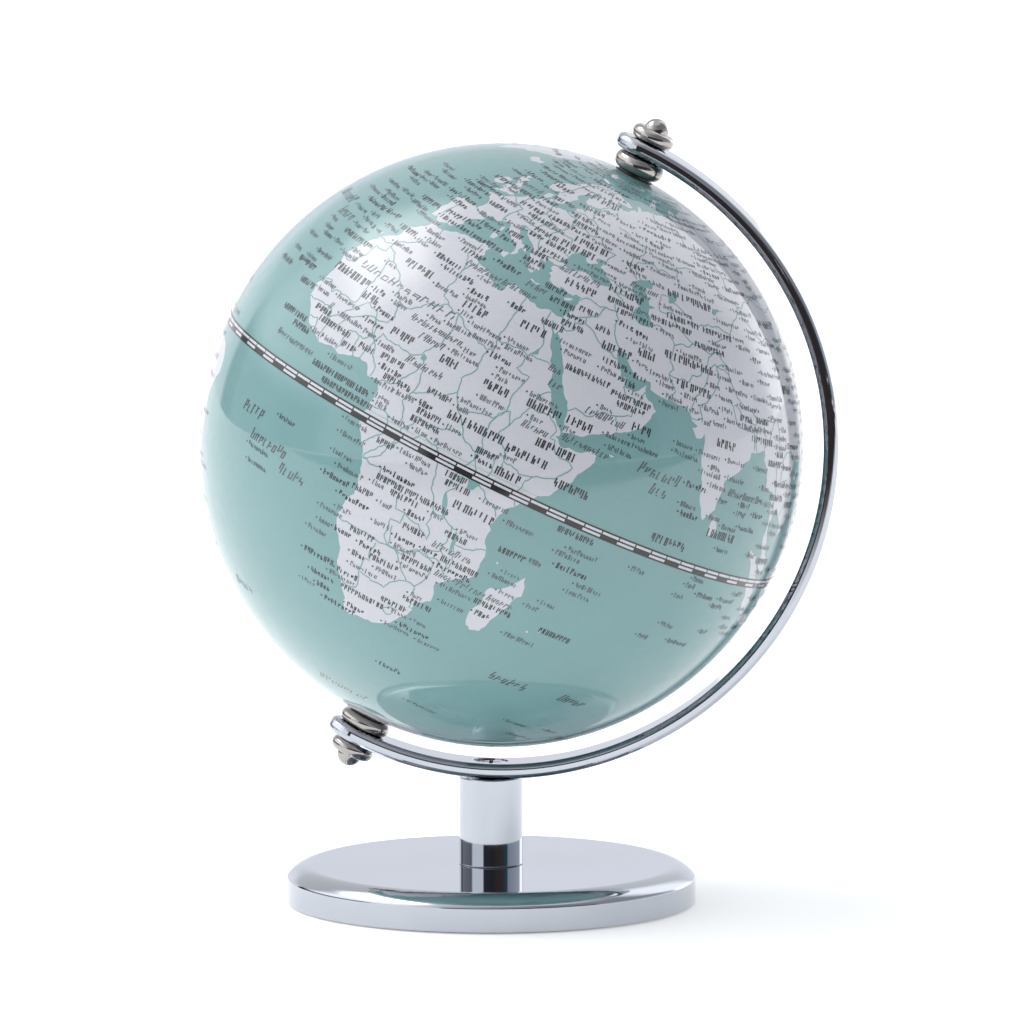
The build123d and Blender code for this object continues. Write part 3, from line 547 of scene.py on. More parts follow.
sea = printed_paper("printed_sea", (0.178, 0.338, 0.342), mottle=0.035, grain=0.05)
land = printed_paper("printed_land", (0.560, 0.573, 0.614), mottle=0.020, grain=0.04)
border_ink = printed_paper("border_ink", (0.180, 0.350, 0.335), mottle=0.05, grain=0.06)
seam_ink = printed_paper("seam_ink", (0.215, 0.420, 0.385), mottle=0.05, grain=0.06)
dark_ink = printed_paper("dark_ink", (0.035, 0.040, 0.048), mottle=0.20, grain=0.10)
soft_ink = printed_paper("soft_ink", (0.085, 0.100, 0.110), mottle=0.20, grain=0.10)
black_ink = printed_paper("black_ink", (0.010, 0.011, 0.013), mottle=0.20, grain=0.10)
chrome = polished_metal("chrome", (0.500, 0.525, 0.572), smooth=0.035, rough=0.075)
nickel = polished_metal("nickel", (0.420, 0.398, 0.380), smooth=0.050, rough=0.110, smudge_scale=120.0)
screw_steel = polished_metal(
    "screw_steel", (0.600, 0.610, 0.630), smooth=0.120, rough=0.220, smudge_scale=400.0, ripple=0.1)
iron = plain_solid(
    "cast_iron", dark=(0.045, 0.043, 0.042), light=(0.115, 0.110, 0.105),
    rough_low=0.55, rough_high=0.85, scale=500.0, relief=0.0002, metallic=0.8)
foam = plain_solid(
    "foam_pad", dark=(0.012, 0.012, 0.013), light=(0.035, 0.035, 0.037),
    rough_low=0.80, rough_high=0.95, scale=2400.0, relief=0.0001)
moulded = plain_solid(
    "moulded_white", dark=(0.70, 0.70, 0.68), light=(0.80, 0.80, 0.78),
    rough_low=0.35, rough_high=0.50, scale=700.0, relief=0.00003)
acetal = plain_solid(
    "acetal", dark=(0.018, 0.018, 0.019), light=(0.040, 0.040, 0.042),
    rough_low=0.30, rough_high=0.45, scale=700.0, relief=0.00002)


# Printed map

def roughened(line, closed, share, smallest, seed):
    """A line with its steps halved by sideways shifts until all are short, as a real coast is.

    A shift is at most the given share of the step.
    """
    rng = random.Random(seed)
    points = list(line) + ([line[0]] if closed else [])
    while True:
        longer = []
        for (x0, y0), (x1, y1) in zip(points, points[1:]):
            longer.append((x0, y0))
            length = math.hypot(x1 - x0, y1 - y0)
            if length > smallest:
                shift = rng.uniform(-share, share)
                longer.append(((x0 + x1) / 2 - (y1 - y0) * shift, (y0 + y1) / 2 + (x1 - x0) * shift))
        longer.append(points[-1])
        if len(longer) == len(points):
            break
        points = longer
    return points[:-1] if closed else points


def on_paper(line):
    """A line of longitudes and latitudes as printed degrees."""
    return [printed(lon, lat) for lon, lat in line]


def within(ring, spots):
    """Which spots lie inside a closed ring."""
    x, y = spots[:, 0], spots[:, 1]
    inside = np.zeros(len(spots), bool)
    for (x0, y0), (x1, y1) in zip(ring, ring[1:] + ring[:1]):
        if y0 != y1:
            crosses = (y0 > y) != (y1 > y)
            inside ^= crosses & (x < x0 + (y - y0) * (x1 - x0) / (y1 - y0))
    return inside


GRID_STEP = 3.0
GRID_TOP = 84.0
SEAM_TOLERANCE = 0.001


def build_map():
    """Both halves of the map as one triangulation of sea and land, cut along every coast."""
    points, edges, land_rings, water_rings = [], [], [], []

    def add_line(line):
        start = len(points)
        points.extend(Vector(place) for place in line)
        edges.extend((i, i + 1) for i in range(start, len(points) - 1))
        return start

    def add_ring(ring):
        start = add_line(ring)
        edges.append((len(points) - 1, start))
        return ring

    columns = np.arange(0.0, 360.0 + GRID_STEP / 2, GRID_STEP) + WEST_EDGE
    rows = np.arange(-GRID_TOP, GRID_TOP + GRID_STEP / 2, GRID_STEP)
    outline = [(x, -TOP_LATITUDE) for x in columns]
    outline += [(EAST_EDGE, y) for y in rows]
    outline += [(x, TOP_LATITUDE) for x in reversed(columns)]
    outline += [(WEST_EDGE, y) for y in reversed(rows)]
    add_ring(outline)
    for name, text in LAND.items():
        coast = places(text)
        ring = on_paper(roughened(coast, closed=True, share=0.13, smallest=1.1, seed=name))
        land_rings.append(add_ring(ring))
        if max(lon for lon, _ in coast) > 180.0:
            land_rings.append(add_ring([(x - 360.0, y) for x, y in ring]))
    ice = on_paper(roughened(places(ANTARCTIC_COAST), closed=False, share=0.10, smallest=2.0, seed="ice"))
    land_rings.append(add_ring(ice + [(EAST_EDGE, -89.0), (WEST_EDGE, -89.0)]))
    for name, text in WATER.items():
        shore = roughened(places(text), closed=True, share=0.12, smallest=1.1, seed=name)
        water_rings.append(add_ring(on_paper(shore)))
    add_line([(x, 0.0) for x in columns])
    points.extend(Vector((x, y)) for x in columns[1:-1] for y in rows if abs(y) > 1.0)

    verts, _, triangles, _, _, _ = delaunay_2d_cdt(points, edges, [], 0, 1e-6, False)
    flat = np.array([tuple(v) for v in verts])
    triangles = np.array(triangles)
    middles = flat[triangles].mean(1)
    on_sheet = abs(middles[:, 1]) < TOP_LATITUDE
    on_sheet &= (middles[:, 0] > WEST_EDGE) & (middles[:, 0] < EAST_EDGE)
    triangles, middles = triangles[on_sheet], middles[on_sheet]
    dry = np.zeros(len(triangles), bool)
    for ring in land_rings:
        dry |= within(ring, middles)
    for ring in water_rings:
        dry &= ~within(ring, middles)
    return flat, triangles, dry.astype(int)


def merge_seam(flat, triangles):
    """Joins the two edges of the flat map, which meet on the ball."""
    ids = {}
    target = np.arange(len(flat))
    for i, (x, y) in enumerate(flat):
        if min(abs(x - WEST_EDGE), abs(x - EAST_EDGE)) < SEAM_TOLERANCE:
            target[i] = ids.setdefault(round(float(y), 3), i)
    return target[triangles]


def map_half(name, flat, triangles, kinds, sign):
    """The half of the printed ball whose latitudes have this sign."""
    mine = np.sign(flat[triangles][:, :, 1].mean(1)) == sign
    used, compact = np.unique(triangles[mine], return_inverse=True)
    compact = compact.reshape(-1, 3)
    whole = np.array([len(set(t)) == 3 for t in compact.tolist()])
    normals = directions(flat[used][:, 0], flat[used][:, 1])
    points = normals * BALL_RADIUS + np.array(BALL_CENTRE)
    return add_mesh(name, points, compact[whole].tolist(), [sea, land], kinds[mine][whole].tolist(), normals)


def on_globe(piece, *replaced):
    """A printed piece that turns with the ball."""
    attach(piece, "globe")
    if replaced:
        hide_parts(*replaced)


flat_map, map_triangles, map_kinds = build_map()
map_triangles = merge_seam(flat_map, map_triangles)
on_globe(map_half("north_map", flat_map, map_triangles, map_kinds, 1), "north_map_skin")
on_globe(map_half("south_map", flat_map, map_triangles, map_kinds, -1), "south_map_skin")


class Print:
    """Flat marks just above the map, gathered into one mesh."""

    def __init__(self, lift_mm):
        self.lift = lift_mm
        self.spots, self.faces, self.kinds = [], [], []

    def mark(self, corners, kind=0):
        """One flat face, with its corners in printed degrees."""
        start = len(self.spots)
        self.spots.extend(corners)
        self.faces.append(list(range(start, start + len(corners))))
        self.kinds.append(kind)

    def patch(self, west, east, south, north, kind=0, step=2.0):
        """A band between two latitudes, all in printed degrees."""
        count = max(1, math.ceil((east - west) / step))
        for i in range(count):
            x0 = west + (east - west) * i / count
            x1 = west + (east - west) * (i + 1) / count
            self.mark([(x0, south), (x1, south), (x1, north), (x0, north)], kind)

    def ribbon(self, line, width_mm, kind=0):
        """A line of even width along places in printed degrees."""
        line = np.array(line)
        half = width_mm * DEG_PER_MM / 2
        step = np.gradient(line, axis=0)
        squeeze = np.cos(np.radians(line[:, 1]))
        along = np.stack([step[:, 0] * squeeze, step[:, 1]], -1)
        along /= np.linalg.norm(along, axis=1)[:, None]
        side = np.stack([-along[:, 1] / squeeze, along[:, 0]], -1) * half
        for i in range(len(line) - 1):
            j = i + 1
            corners = (line[i] - side[i], line[j] - side[j], line[j] + side[j], line[i] + side[i])
            self.mark([tuple(corner) for corner in corners], kind)

    def piece(self, name, materials):
        spots = np.array(self.spots)
        normals = directions(spots[:, 0], spots[:, 1])
        points = normals * (BALL_RADIUS + self.lift) + np.array(BALL_CENTRE)
        return add_mesh(name, points, self.faces, materials, self.kinds, normals)


# How far each layer of ink stands above the map
BORDER_LIFT = 0.012
LETTERING_LIFT = 0.030
BAND_LIFT = 0.036

BORDER_WIDTH = 0.26
borders = Print(BORDER_LIFT)
for number, border in enumerate(BORDERS):
    border_line = roughened(places(border), closed=False, share=0.13, smallest=0.9, seed=number)
    borders.ribbon(on_paper(border_line), BORDER_WIDTH)
on_globe(borders.piece("map_borders", [border_ink]))

# Equator band: three black lines, a row of white cells, and a row of white and black cells in turn
CELLS = 94
CELL = 360.0 / CELLS
LINE = 0.38 * DEG_PER_MM
BAND_TOP = 1.14 * DEG_PER_MM
BAND_MIDDLE = 0.19 * DEG_PER_MM
BAND_BOTTOM = -1.14 * DEG_PER_MM
TICK = 0.34 * DEG_PER_MM
SEAM_LATITUDE = 2.05 * DEG_PER_MM
SEAM_WIDTH = 0.09 * DEG_PER_MM
BLACK, WHITE, SEAM = range(3)
band = Print(BAND_LIFT)
for line_top in (BAND_TOP, BAND_MIDDLE, BAND_BOTTOM + LINE):
    band.patch(0.0, 360.0, line_top - LINE, line_top, BLACK)
for cell in range(CELLS):
    cell_west = cell * CELL
    cell_east = cell_west + CELL
    band.patch(cell_west, cell_west + TICK, BAND_MIDDLE, BAND_TOP - LINE, BLACK)
    band.patch(cell_west + TICK, cell_east, BAND_MIDDLE, BAND_TOP - LINE, WHITE)
    band.patch(cell_west, cell_east, BAND_BOTTOM + LINE, BAND_MIDDLE - LINE, WHITE if cell % 2 else BLACK)
band.patch(0.0, 360.0, SEAM_LATITUDE - SEAM_WIDTH, SEAM_LATITUDE, SEAM)
on_globe(band.piece("equator_band", [black_ink, land, seam_ink]))


# Place names, as short illegible strokes. Each is (middle longitude, latitude, letters).
COUNTRY, SMALL_COUNTRY, CAPITAL, TOWN, SEA_NAME, OCEAN_NAME, WIDE_NAME = range(7)
DARK, SOFT = range(2)
LETTERING = {
    COUNTRY: dict(height=1.95, pitch=1.30, stroke=0.36, slant=0.0, capitals=True, ink=DARK),
    SMALL_COUNTRY: dict(height=1.45, pitch=0.95, stroke=0.27, slant=0.0, capitals=True, ink=DARK),
    CAPITAL: dict(height=1.45, pitch=0.95, stroke=0.29, slant=0.0, capitals=False, ink=DARK),
    TOWN: dict(height=1.30, pitch=0.80, stroke=0.20, slant=0.0, capitals=False, ink=SOFT),
    SEA_NAME: dict(height=1.75, pitch=1.10, stroke=0.24, slant=0.3, capitals=False, ink=SOFT),
    OCEAN_NAME: dict(height=2.70, pitch=1.70, stroke=0.36, slant=0.3, capitals=False, ink=SOFT),
    WIDE_NAME: dict(height=1.90, pitch=2.50, stroke=0.30, slant=0.3, capitals=False, ink=SOFT),
}
NAMES = {
    COUNTRY: [
        (-11, 19.3, 10), (-3, 17.6, 4), (1.5, 26.5, 7), (8, 14.8, 5), (17.5, 25.0, 5), (19, 14.8, 4),
        (30, 26.8, 5), (29, 14.5, 5), (39, 14.9, 7), (29, 7.2, 11), (39.5, 6.6, 8), (38, 1.8, 5),
        (49.5, 4.8, 7), (44, 9.6, 8), (35.5, -5.6, 8), (46, 15.2, 5), (58, 18.6, 4), (55, 31.6, 4),
        (68, 29.0, 8), (66, 33.4, 11), (79, 21.5, 5), (35, 38.6, 6), (48, 30.0, 6), (33, 48.8, 7),
        (30, 46.4, 7), (66, 46.4, 10), (72, 2.8, 8), (84, 6.6, 8), (28, 63.4, 7), (106, 34.0, 5),
        (-52, -10.0, 6), (-66, -35.0, 9), (-100, 40.0, 13), (-100, 56.0, 6), (-102, 24.0, 6),
        (134, -25.0, 9), (104, 46.5, 8), (118, -1.5, 9), (140, 38.0, 5), (46.5, 41.6, 7)],
    SMALL_COUNTRY: [
        (33, 2.7, 6), (30, -1.6, 6), (31, -3.0, 7), (15.5, -1.4, 5), (11.5, -1.0, 5), (24, -5.4, 20),
        (23, -7.4, 8), (15, -11.0, 6), (27, -13.0, 6), (34.5, -10.8, 6), (37.5, -15.2, 10), (30, -18.2, 8),
        (24, -21.0, 8), (18, -18.0, 7), (22, -29.5, 12), (29, -27.8, 7), (33.5, -25.4, 8), (47, -19.6, 10),
        (61, -19.8, 9), (45, -9.2, 7), (54, -1.9, 10), (12, 7.6, 8), (20.5, 8.4, 7), (20.5, 6.8, 7),
        (20.5, 5.2, 8), (9, 10.4, 7), (3, 10.0, 5), (-0.5, 9.4, 5), (-6, 9.6, 12), (-13.5, 7.2, 7),
        (-17.5, 8.6, 11), (-11, 11.6, 6), (-20, 13.8, 7), (-25, 16.4, 10), (-18, 25.0, 14), (-9, 31.6, 7),
        (9, 34.2, 7), (4, 1.9, 17), (1, 3.6, 19), (44, 23.4, 12), (54, 22.6, 11), (54.5, 21.2, 8),
        (52, 25.2, 5), (48.5, 27.4, 7), (43.5, 32.6, 4), (37, 30.6, 6), (33, 29.8, 6), (39, 34.6, 5),
        (33, 33.8, 7), (30, 35.8, 6), (45.5, 39.2, 7), (50, 39.2, 10), (60, 38.6, 12), (63.5, 41.2, 10),
        (75, 41.2, 10), (72, 37.6, 10), (84.5, 27.0, 5), (91, 27.4, 6), (91, 24.0, 10), (97, 20.6, 7),
        (28, 53.0, 7), (20, 51.8, 6), (26, 58.8, 7), (10, 61.0, 6), (16, 59.4, 6), (25, 45.4, 7),
        (22, 39.0, 6), (13, 42.4, 5), (2.5, 46.4, 6), (-4, 39.4, 5), (-13, 39.0, 8), (10, 50.6, 7),
        (-2, 53.4, 14), (20, 47.0, 7), (15, 49.6, 7), (25, 42.4, 8), (21, 41.0, 7), (18, 44.4, 6),
        (25, 56.6, 6), (24, 55.0, 9), (100, 15.0, 8), (108, 14.0, 7), (102, 4.0, 8), (122, 12.0, 11),
        (-74, 4.0, 8), (-76, -10.0, 4), (-65, -17.0, 7), (-72, -30.0, 5), (-66, 7.0, 9), (-78, -1.5, 7),
        (144, -6.4, 14), (171, -43.0, 10), (-42, 72.0, 9)],
    SEA_NAME: [
        (18, 34.6, 17), (26, 33.6, 5), (37.4, 22.0, 3), (38.6, 19.6, 3), (33.5, 43.2, 9), (51, 44.6, 7),
        (51.5, 41.0, 3), (48.5, 12.2, 11), (88, 14.0, 13), (-10, 12.2, 1), (-13, 4.6, 14), (42, -18.0, 18),
        (38.6, 11.4, 6), (15, 12.0, 9), (33.5, -1.4, 10), (35.0, -13.4, 9), (50, 18.0, 9), (48.5, 16.9, 9),
        (13, 18.6, 13), (13.5, 17.2, 6), (-7, 0.9, 7), (0, 56.0, 8), (20, 57.4, 9), (45, 74.0, 10)],
    OCEAN_NAME: [
        (64.5, 12.8, 7), (65.5, 10.2, 3), (60, -33.0, 6), (78, -32.0, 5), (-16, -9.0, 5), (-9, -12.5, 8),
        (-1, -15.0, 5), (-40, 30.0, 8), (-30, 29.0, 5), (-140, 20.0, 7), (-125, 18.0, 5), (-130, -28.0, 7),
        (-112, -29.0, 5), (165, 22.0, 7), (-45, -40.0, 8), (-20, -44.0, 5), (100, -45.0, 6), (20, -60.0, 8)],
    WIDE_NAME: [(2, 22.0, 12), (88, 62.0, 6), (-60, -4.0, 6), (110, 66.0, 7), (-115, 64.0, 5)],
}
# Regions to fill with small names: (west, east, south, north, how many to try, share of bold ones)
CROWDED = [
    (-17, 40, 4, 36, 260, 0.25), (8, 40, -34, 4, 230, 0.3), (34, 60, 12, 40, 160, 0.4),
    (-10, 30, 37, 60, 420, 0.5), (30, 60, 40, 66, 150, 0.2), (60, 100, 24, 56, 200, 0.15),
    (68, 92, 8, 26, 60, 0.1), (92, 122, 8, 44, 220, 0.3), (44, 62, -24, -4, 24, 0.3),
    (-34, -14, 14, 48, 110, 0.15), (-20, 8, -34, -2, 7, 0.2), (-12, 30, 60, 76, 130, 0.2),
    (60, 140, 52, 72, 150, 0.1), (42, 75, -12, 6, 3, 0.2), (78, 100, -20, 6, 14, 0.1),
    (30, 90, -56, -38, 5, 0.1), (-80, -38, -40, 8, 220, 0.2), (-122, -72, 27, 54, 320, 0.2),
    (-112, -60, 8, 26, 120, 0.4), (-140, -60, 54, 74, 90, 0.05), (96, 150, -10, 18, 200, 0.3),
    (114, 152, -36, -12, 90, 0.2), (128, 146, 30, 44, 50, 0.4), (150, 179, -46, 10, 60, 0.3),
    (-179, -130, -25, 25, 60, 0.2), (-30, 20, 72, 82, 30, 0.0), (30, 100, 74, 82, 30, 0.0)]


TOWN_DOT_RADIUS = 0.24
TOWN_DOT_GAP = 0.9
SHIFTS = (0.0, -0.8, 0.8, -1.6, 1.6, -2.4, 2.4)


def width_of(length_mm, north):
    """A length along the map in degrees east, which are short near the poles."""
    return length_mm * DEG_PER_MM / math.cos(math.radians(north))


class Lettering(Print):
    """Words of illegible strokes, each printed only where it is clear of the others."""

    def __init__(self, lift_mm):
        super().__init__(lift_mm)
        self.rng = random.Random(7)
        self.taken = []

    def stroke(self, x, low, high, width, style, west, base, squeeze):
        """One mark of a letter, with x and heights in millimetres from the start of the word."""
        corners = []
        for dx, dy in ((x, low), (x + width, low), (x + width, high), (x, high)):
            shifted = dx + style["slant"] * dy
            corners.append((west + shifted * DEG_PER_MM / squeeze, base + dy * DEG_PER_MM))
        self.mark(corners, style["ink"])

    def word(self, east, north, letters, style):
        """Two uprights and one or two bars per letter, all of chance heights."""
        squeeze = math.cos(math.radians(north))
        length = letters * style["pitch"] * DEG_PER_MM / squeeze
        west = east - length / 2
        base = north - style["height"] * DEG_PER_MM / 2
        rng = self.rng
        for i in range(letters):
            tall = style["capitals"] or i == 0 or rng.random() < 0.25
            top = style["height"] * (1.0 if tall else 0.7)
            width = style["stroke"]
            inner = style["pitch"] * rng.uniform(0.62, 0.76) - width
            x = i * style["pitch"]
            start = rng.choice((0.0, 0.0, 0.0, 0.3))
            self.stroke(x, start * top, top, width, style, west, base, squeeze)
            cut = rng.choice((0.0, 0.0, 0.42, 0.55))
            full = rng.choice((1.0, 1.0, 0.58, 0.66))
            if full > cut + 0.2:
                self.stroke(x + inner, cut * top, full * top, width, style, west, base, squeeze)
            gap = 0.2 * width
            span = inner - width - 2 * gap
            for level in rng.sample((0.0, 0.40, 0.80), rng.choice((1, 1, 2))):
                low = level * top
                self.stroke(x + width + gap, low, low + 0.8 * width, span, style, west, base, squeeze)

    def box(self, east, north, letters, style, margin=0.0):
        """West, east, south and north of a word, in printed degrees."""
        half_length = width_of(letters * style["pitch"], north) / 2 + margin
        half_height = style["height"] * DEG_PER_MM / 2 + margin / 2
        return east - half_length, east + half_length, north - half_height, north + half_height

    def is_free(self, box):
        west, east, south, north = box
        return not any(west < o[1] and o[0] < east and south < o[3] and o[2] < north for o in self.taken)

    def place_word(self, east, north, letters, style, shifts=(0.0,)):
        """Prints a word at the first free place, up or down the map, and says whether it could."""
        for shift in shifts:
            if self.is_free(self.box(east, north + shift, letters, style, 0.3)):
                self.word(east, north + shift, letters, style)
                self.taken.append(self.box(east, north + shift, letters, style))
                return True
        return False

    def town_dot(self, east, north, letters, style):
        """A small round dot before a word."""
        middle = east - width_of(letters * style["pitch"] / 2 + TOWN_DOT_GAP, north)
        across = width_of(TOWN_DOT_RADIUS, north)
        up = TOWN_DOT_RADIUS * DEG_PER_MM
        angles = np.linspace(0.0, 2 * math.pi, 8, endpoint=False)
        ring = [(middle + across * math.cos(a), north + up * math.sin(a)) for a in angles]
        self.mark(ring, style["ink"])

    def crowd(self, west, east, south, north, tries, bold_share):
        """Fills a region with small names at chance places, where they fit."""
        for _ in range(tries):
            place = printed(self.rng.uniform(west, east), self.rng.uniform(south, north))
            style = LETTERING[CAPITAL if self.rng.random() < bold_share else TOWN]
            letters = self.rng.randint(4, 10)
            if self.place_word(*place, letters, style):
                self.town_dot(*place, letters, style)


lettering = Lettering(LETTERING_LIFT)
# Words keep clear of the equator band, all the way round
lettering.taken.append((-400.0, 400.0, BAND_BOTTOM, BAND_TOP + 0.3))
for size, names in NAMES.items():
    for lon, lat, letters in names:
        lettering.place_word(*printed(lon, lat), letters, LETTERING[size], SHIFTS)
for region in CROWDED:
    lettering.crowd(*region)
on_globe(lettering.piece("map_lettering", [dark_ink, soft_ink]))


# Turned pieces, as closed (radius, height) outlines. One that reaches the axis stops this short of it.
AT_AXIS = 0.01


def arc_points(start, middle, end, count=14):
    """Points along the circle through three (radius, height) points, without the first one."""
    (ax, ay), (bx, by), (cx, cy) = start, middle, end
    a2, b2, c2 = ax ** 2 + ay ** 2, bx ** 2 + by ** 2, cx ** 2 + cy ** 2
    d = 2 * (ax * (by - cy) + bx * (cy - ay) + cx * (ay - by))
    ux = (a2 * (by - cy) + b2 * (cy - ay) + c2 * (ay - by)) / d
    uy = (a2 * (cx - bx) + b2 * (ax - cx) + c2 * (bx - ax)) / d
    radius = math.hypot(ax - ux, ay - uy)
    first = math.atan2(ay - uy, ax - ux)
    turn = math.atan2(cy - uy, cx - ux) - first
    via = math.atan2(by - uy, bx - ux) - first
    turn %= 2 * math.pi
    if via % (2 * math.pi) > turn:
        turn -= 2 * math.pi
    angles = [first + turn * i / count for i in range(1, count + 1)]
    return [(ux + radius * math.cos(a), uy + radius * math.sin(a)) for a in angles]


def bend(centre, radius, start_deg, end_deg, count=10):
    """Points of a round from one angle to another."""
    angles = np.radians(np.linspace(start_deg, end_deg, count + 1))
    return [(centre[0] + radius * math.cos(a), centre[1] + radius * math.sin(a)) for a in angles]


def polar(pole):
    """Transform that puts a piece drawn for local +Z at one of the ball's poles, in millimetres."""
    turn = Matrix.Rotation(AXIS_TILT, 4, "Y")
    if pole == "south":
        turn = turn @ Matrix.Rotation(math.pi, 4, "X")
    return Matrix.Translation(BALL_CENTRE) @ turn


def supported(outline, gap=0.06):
    """Adds points near the ends of long straight runs, so that smooth shading stays flat between them."""
    points = []
    for (x0, y0), (x1, y1) in zip(outline, outline[1:] + outline[:1]):
        points.append((x0, y0))
        length = math.hypot(x1 - x0, y1 - y0)
        if length > 8 * gap:
            for share in (gap / length, 0.5, 1 - gap / length):
                points.append((x0 + (x1 - x0) * share, y0 + (y1 - y0) * share))
    return points


SHARP_ANGLE = math.radians(32)


def lathe(name, outline, material, place=Matrix.Identity(4), segments=160):
    """Closed (radius, height) outline turned about local Z."""
    outline = supported(outline)
    count = len(outline)
    points, faces = [], []
    for i in range(segments):
        a = 2 * math.pi * i / segments
        points.extend(place @ Vector((r * math.cos(a), r * math.sin(a), z)) for r, z in outline)
    for i in range(segments):
        for j in range(count):
            k = (j + 1) % count
            here, there = i * count, (i + 1) % segments * count
            faces.append([here + j, there + j, there + k, here + k])
    piece = add_mesh(name, [tuple(p) for p in points], faces, [material])
    piece.data.set_sharp_from_angle(angle=SHARP_ANGLE)
    return piece


def on_stand(piece, replaced):
    """A piece that stays with the stand and is shown instead of a CAD node."""
    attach(piece, "stand")
    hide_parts(replaced)


def base_outline():
    """A broad shoulder turns the top down to the rim, where a small round meets the wall."""
    shoulder, turn_deg, rim = 7.5, 43.0, 1.2
    foot_round, wall, lift = 0.3, 1.2, 0.4
    turn = math.radians(turn_deg)
    flat_radius = BASE_RADIUS - rim * (1 - math.cos(turn)) - shoulder * math.cos(turn)
    shoulder_centre = (flat_radius, BASE_HEIGHT - shoulder)
    rim_centre = (BASE_RADIUS - rim, BASE_HEIGHT - shoulder + (shoulder - rim) * math.sin(turn))
    outline = [(2.0, BASE_HEIGHT), (2.0, BASE_HEIGHT - wall)]
    outline += bend(shoulder_centre, shoulder - wall, 90, turn_deg)
    outline += [(BASE_RADIUS - wall, lift)]
    outline += bend((BASE_RADIUS - foot_round, lift + foot_round), foot_round, -90, 0, 5)
    outline += bend(rim_centre, rim, 0, turn_deg, 14)
    outline += bend(shoulder_centre, shoulder, turn_deg, 90, 24)[1:]
    outline += [(r, BASE_HEIGHT) for r in (36.0, 28.0, 20.0, 14.0, 9.0)]
    return outline


def post_outline():
    """A plain tube with small rounds at its foot and top."""
    bore, edge = 2.0, 0.3
    outline = [(bore, POST_TOP), (bore, BASE_HEIGHT)]
    outline += bend((POST_RADIUS - edge, BASE_HEIGHT + edge), edge, -90, 0, 5)
    outline += bend((POST_RADIUS - edge, POST_TOP - edge), edge, 0, 90, 5)
    return outline


def pad_outline():
    """A thin disc with rounded edges, a little smaller than the base."""
    round_middle, edge, thickness = 45.4, 0.5, 2.0
    outline = [(AT_AXIS, 0.0)]
    outline += bend((round_middle, edge), edge, -90, 0, 4)
    outline += bend((round_middle, thickness - edge), edge, 0, 90, 4)
    return outline + [(AT_AXIS, thickness)]


def bead_outline(shift):
    """A round-sided nut between the ball and the arc, whose top meets the arc."""
    bore, end, widest, low = 1.55, 4.4, 6.0, 70.5
    high = shift + math.sqrt(ARC_INNER_RADIUS ** 2 - end ** 2)
    outline = [(bore, high), (bore, low), (end, low)]
    return outline + arc_points((end, low), (widest, (low + high) / 2), (end, high), 20)


def finial_outline(shift):
    """A cap nut outside the arc: a rounded ring with a small dome on it."""
    foot = shift + ARC_INNER_RADIUS + ARC_THICKNESS
    shoulder, crown = foot + 3.3, foot + 6.0
    ring_foot, ring, dome = 3.5, 5.1, 2.9
    rise = crown - shoulder
    curve = (dome ** 2 + rise ** 2) / (2 * rise)
    half = math.asin(dome / curve) / 2
    dome_middle = (curve * math.sin(half), crown - curve * (1 - math.cos(half)))
    outline = [(AT_AXIS, foot), (ring_foot, foot)]
    outline += arc_points((ring_foot, foot), (ring, foot + 1.65), (ring_foot, shoulder), 20)
    outline += [(dome, shoulder)]
    return outline + arc_points((dome, shoulder), dome_middle, (AT_AXIS, crown), 18)


on_stand(lathe("base_disc", base_outline(), chrome, segments=256), "base_shell")
on_stand(lathe("post_column", post_outline(), chrome), "post")
on_stand(lathe("foot_pad", pad_outline(), foam, segments=128), "base_pad")
for pole, shift in (("north", ARC_SHIFT), ("south", -ARC_SHIFT)):
    bead = lathe(f"{pole}_round_bead", bead_outline(shift), nickel, polar(pole))
    on_stand(bead, f"{pole}_bead")
    finial = lathe(f"{pole}_cap_nut", finial_outline(shift), nickel, polar(pole))
    on_stand(finial, f"{pole}_finial")


# Meridian arc: a bent plate with round ends, rounded edges and a countersunk hole over the post

def arc_layers():
    """(inset from the outline, height above the plate's middle) from inner to outer face."""
    flat = ARC_THICKNESS / 2 - ARC_EDGE_ROUND
    layers = []
    for sign, angles in ((-1, np.linspace(90, 0, 9)), (1, np.linspace(0, 90, 9))):
        for a in np.radians(angles):
            layers.append((ARC_EDGE_ROUND * (1 - math.cos(a)), sign * (flat + ARC_EDGE_ROUND * math.sin(a))))
    return layers


ARC_MID = ARC_INNER_RADIUS + ARC_THICKNESS / 2
ARC_HALF_WIDTH = ARC_WIDTH / 2
END_CENTRE = ARC_HALF_WIDTH - ARC_END_BEYOND_PIN
ARC_CENTRE = BALL_CENTRE + ARC_SHIFT * POLE
ARC_MIDDLE_WAY = Vector((math.cos(AXIS_TILT), 0.0, -math.sin(AXIS_TILT)))


def arc_place(s, y, h):
    """Place and directions at s millimetres round from the north pole, y across, h out from the middle."""
    angle = s / ARC_MID
    out = POLE * math.cos(angle) + ARC_MIDDLE_WAY * math.sin(angle)
    along = ARC_MIDDLE_WAY * math.cos(angle) - POLE * math.sin(angle)
    return ARC_CENTRE + out * (ARC_MID + h) + Vector((0.0, y, 0.0)), out, along


def arc_side(inset):
    """(s, half width) steps from one tip to the other."""
    first, last = END_CENTRE, math.pi * ARC_MID - END_CENTRE
    radius = ARC_HALF_WIDTH - inset
    caps = np.radians(np.linspace(0, 90, 15))
    steps = [(first - radius * math.cos(a), radius * math.sin(a)) for a in caps]
    steps += [(s, radius) for s in np.linspace(first, last, 200)[1:-1]]
    steps += [(last + radius * math.cos(a), radius * math.sin(a)) for a in reversed(caps)]
    return steps


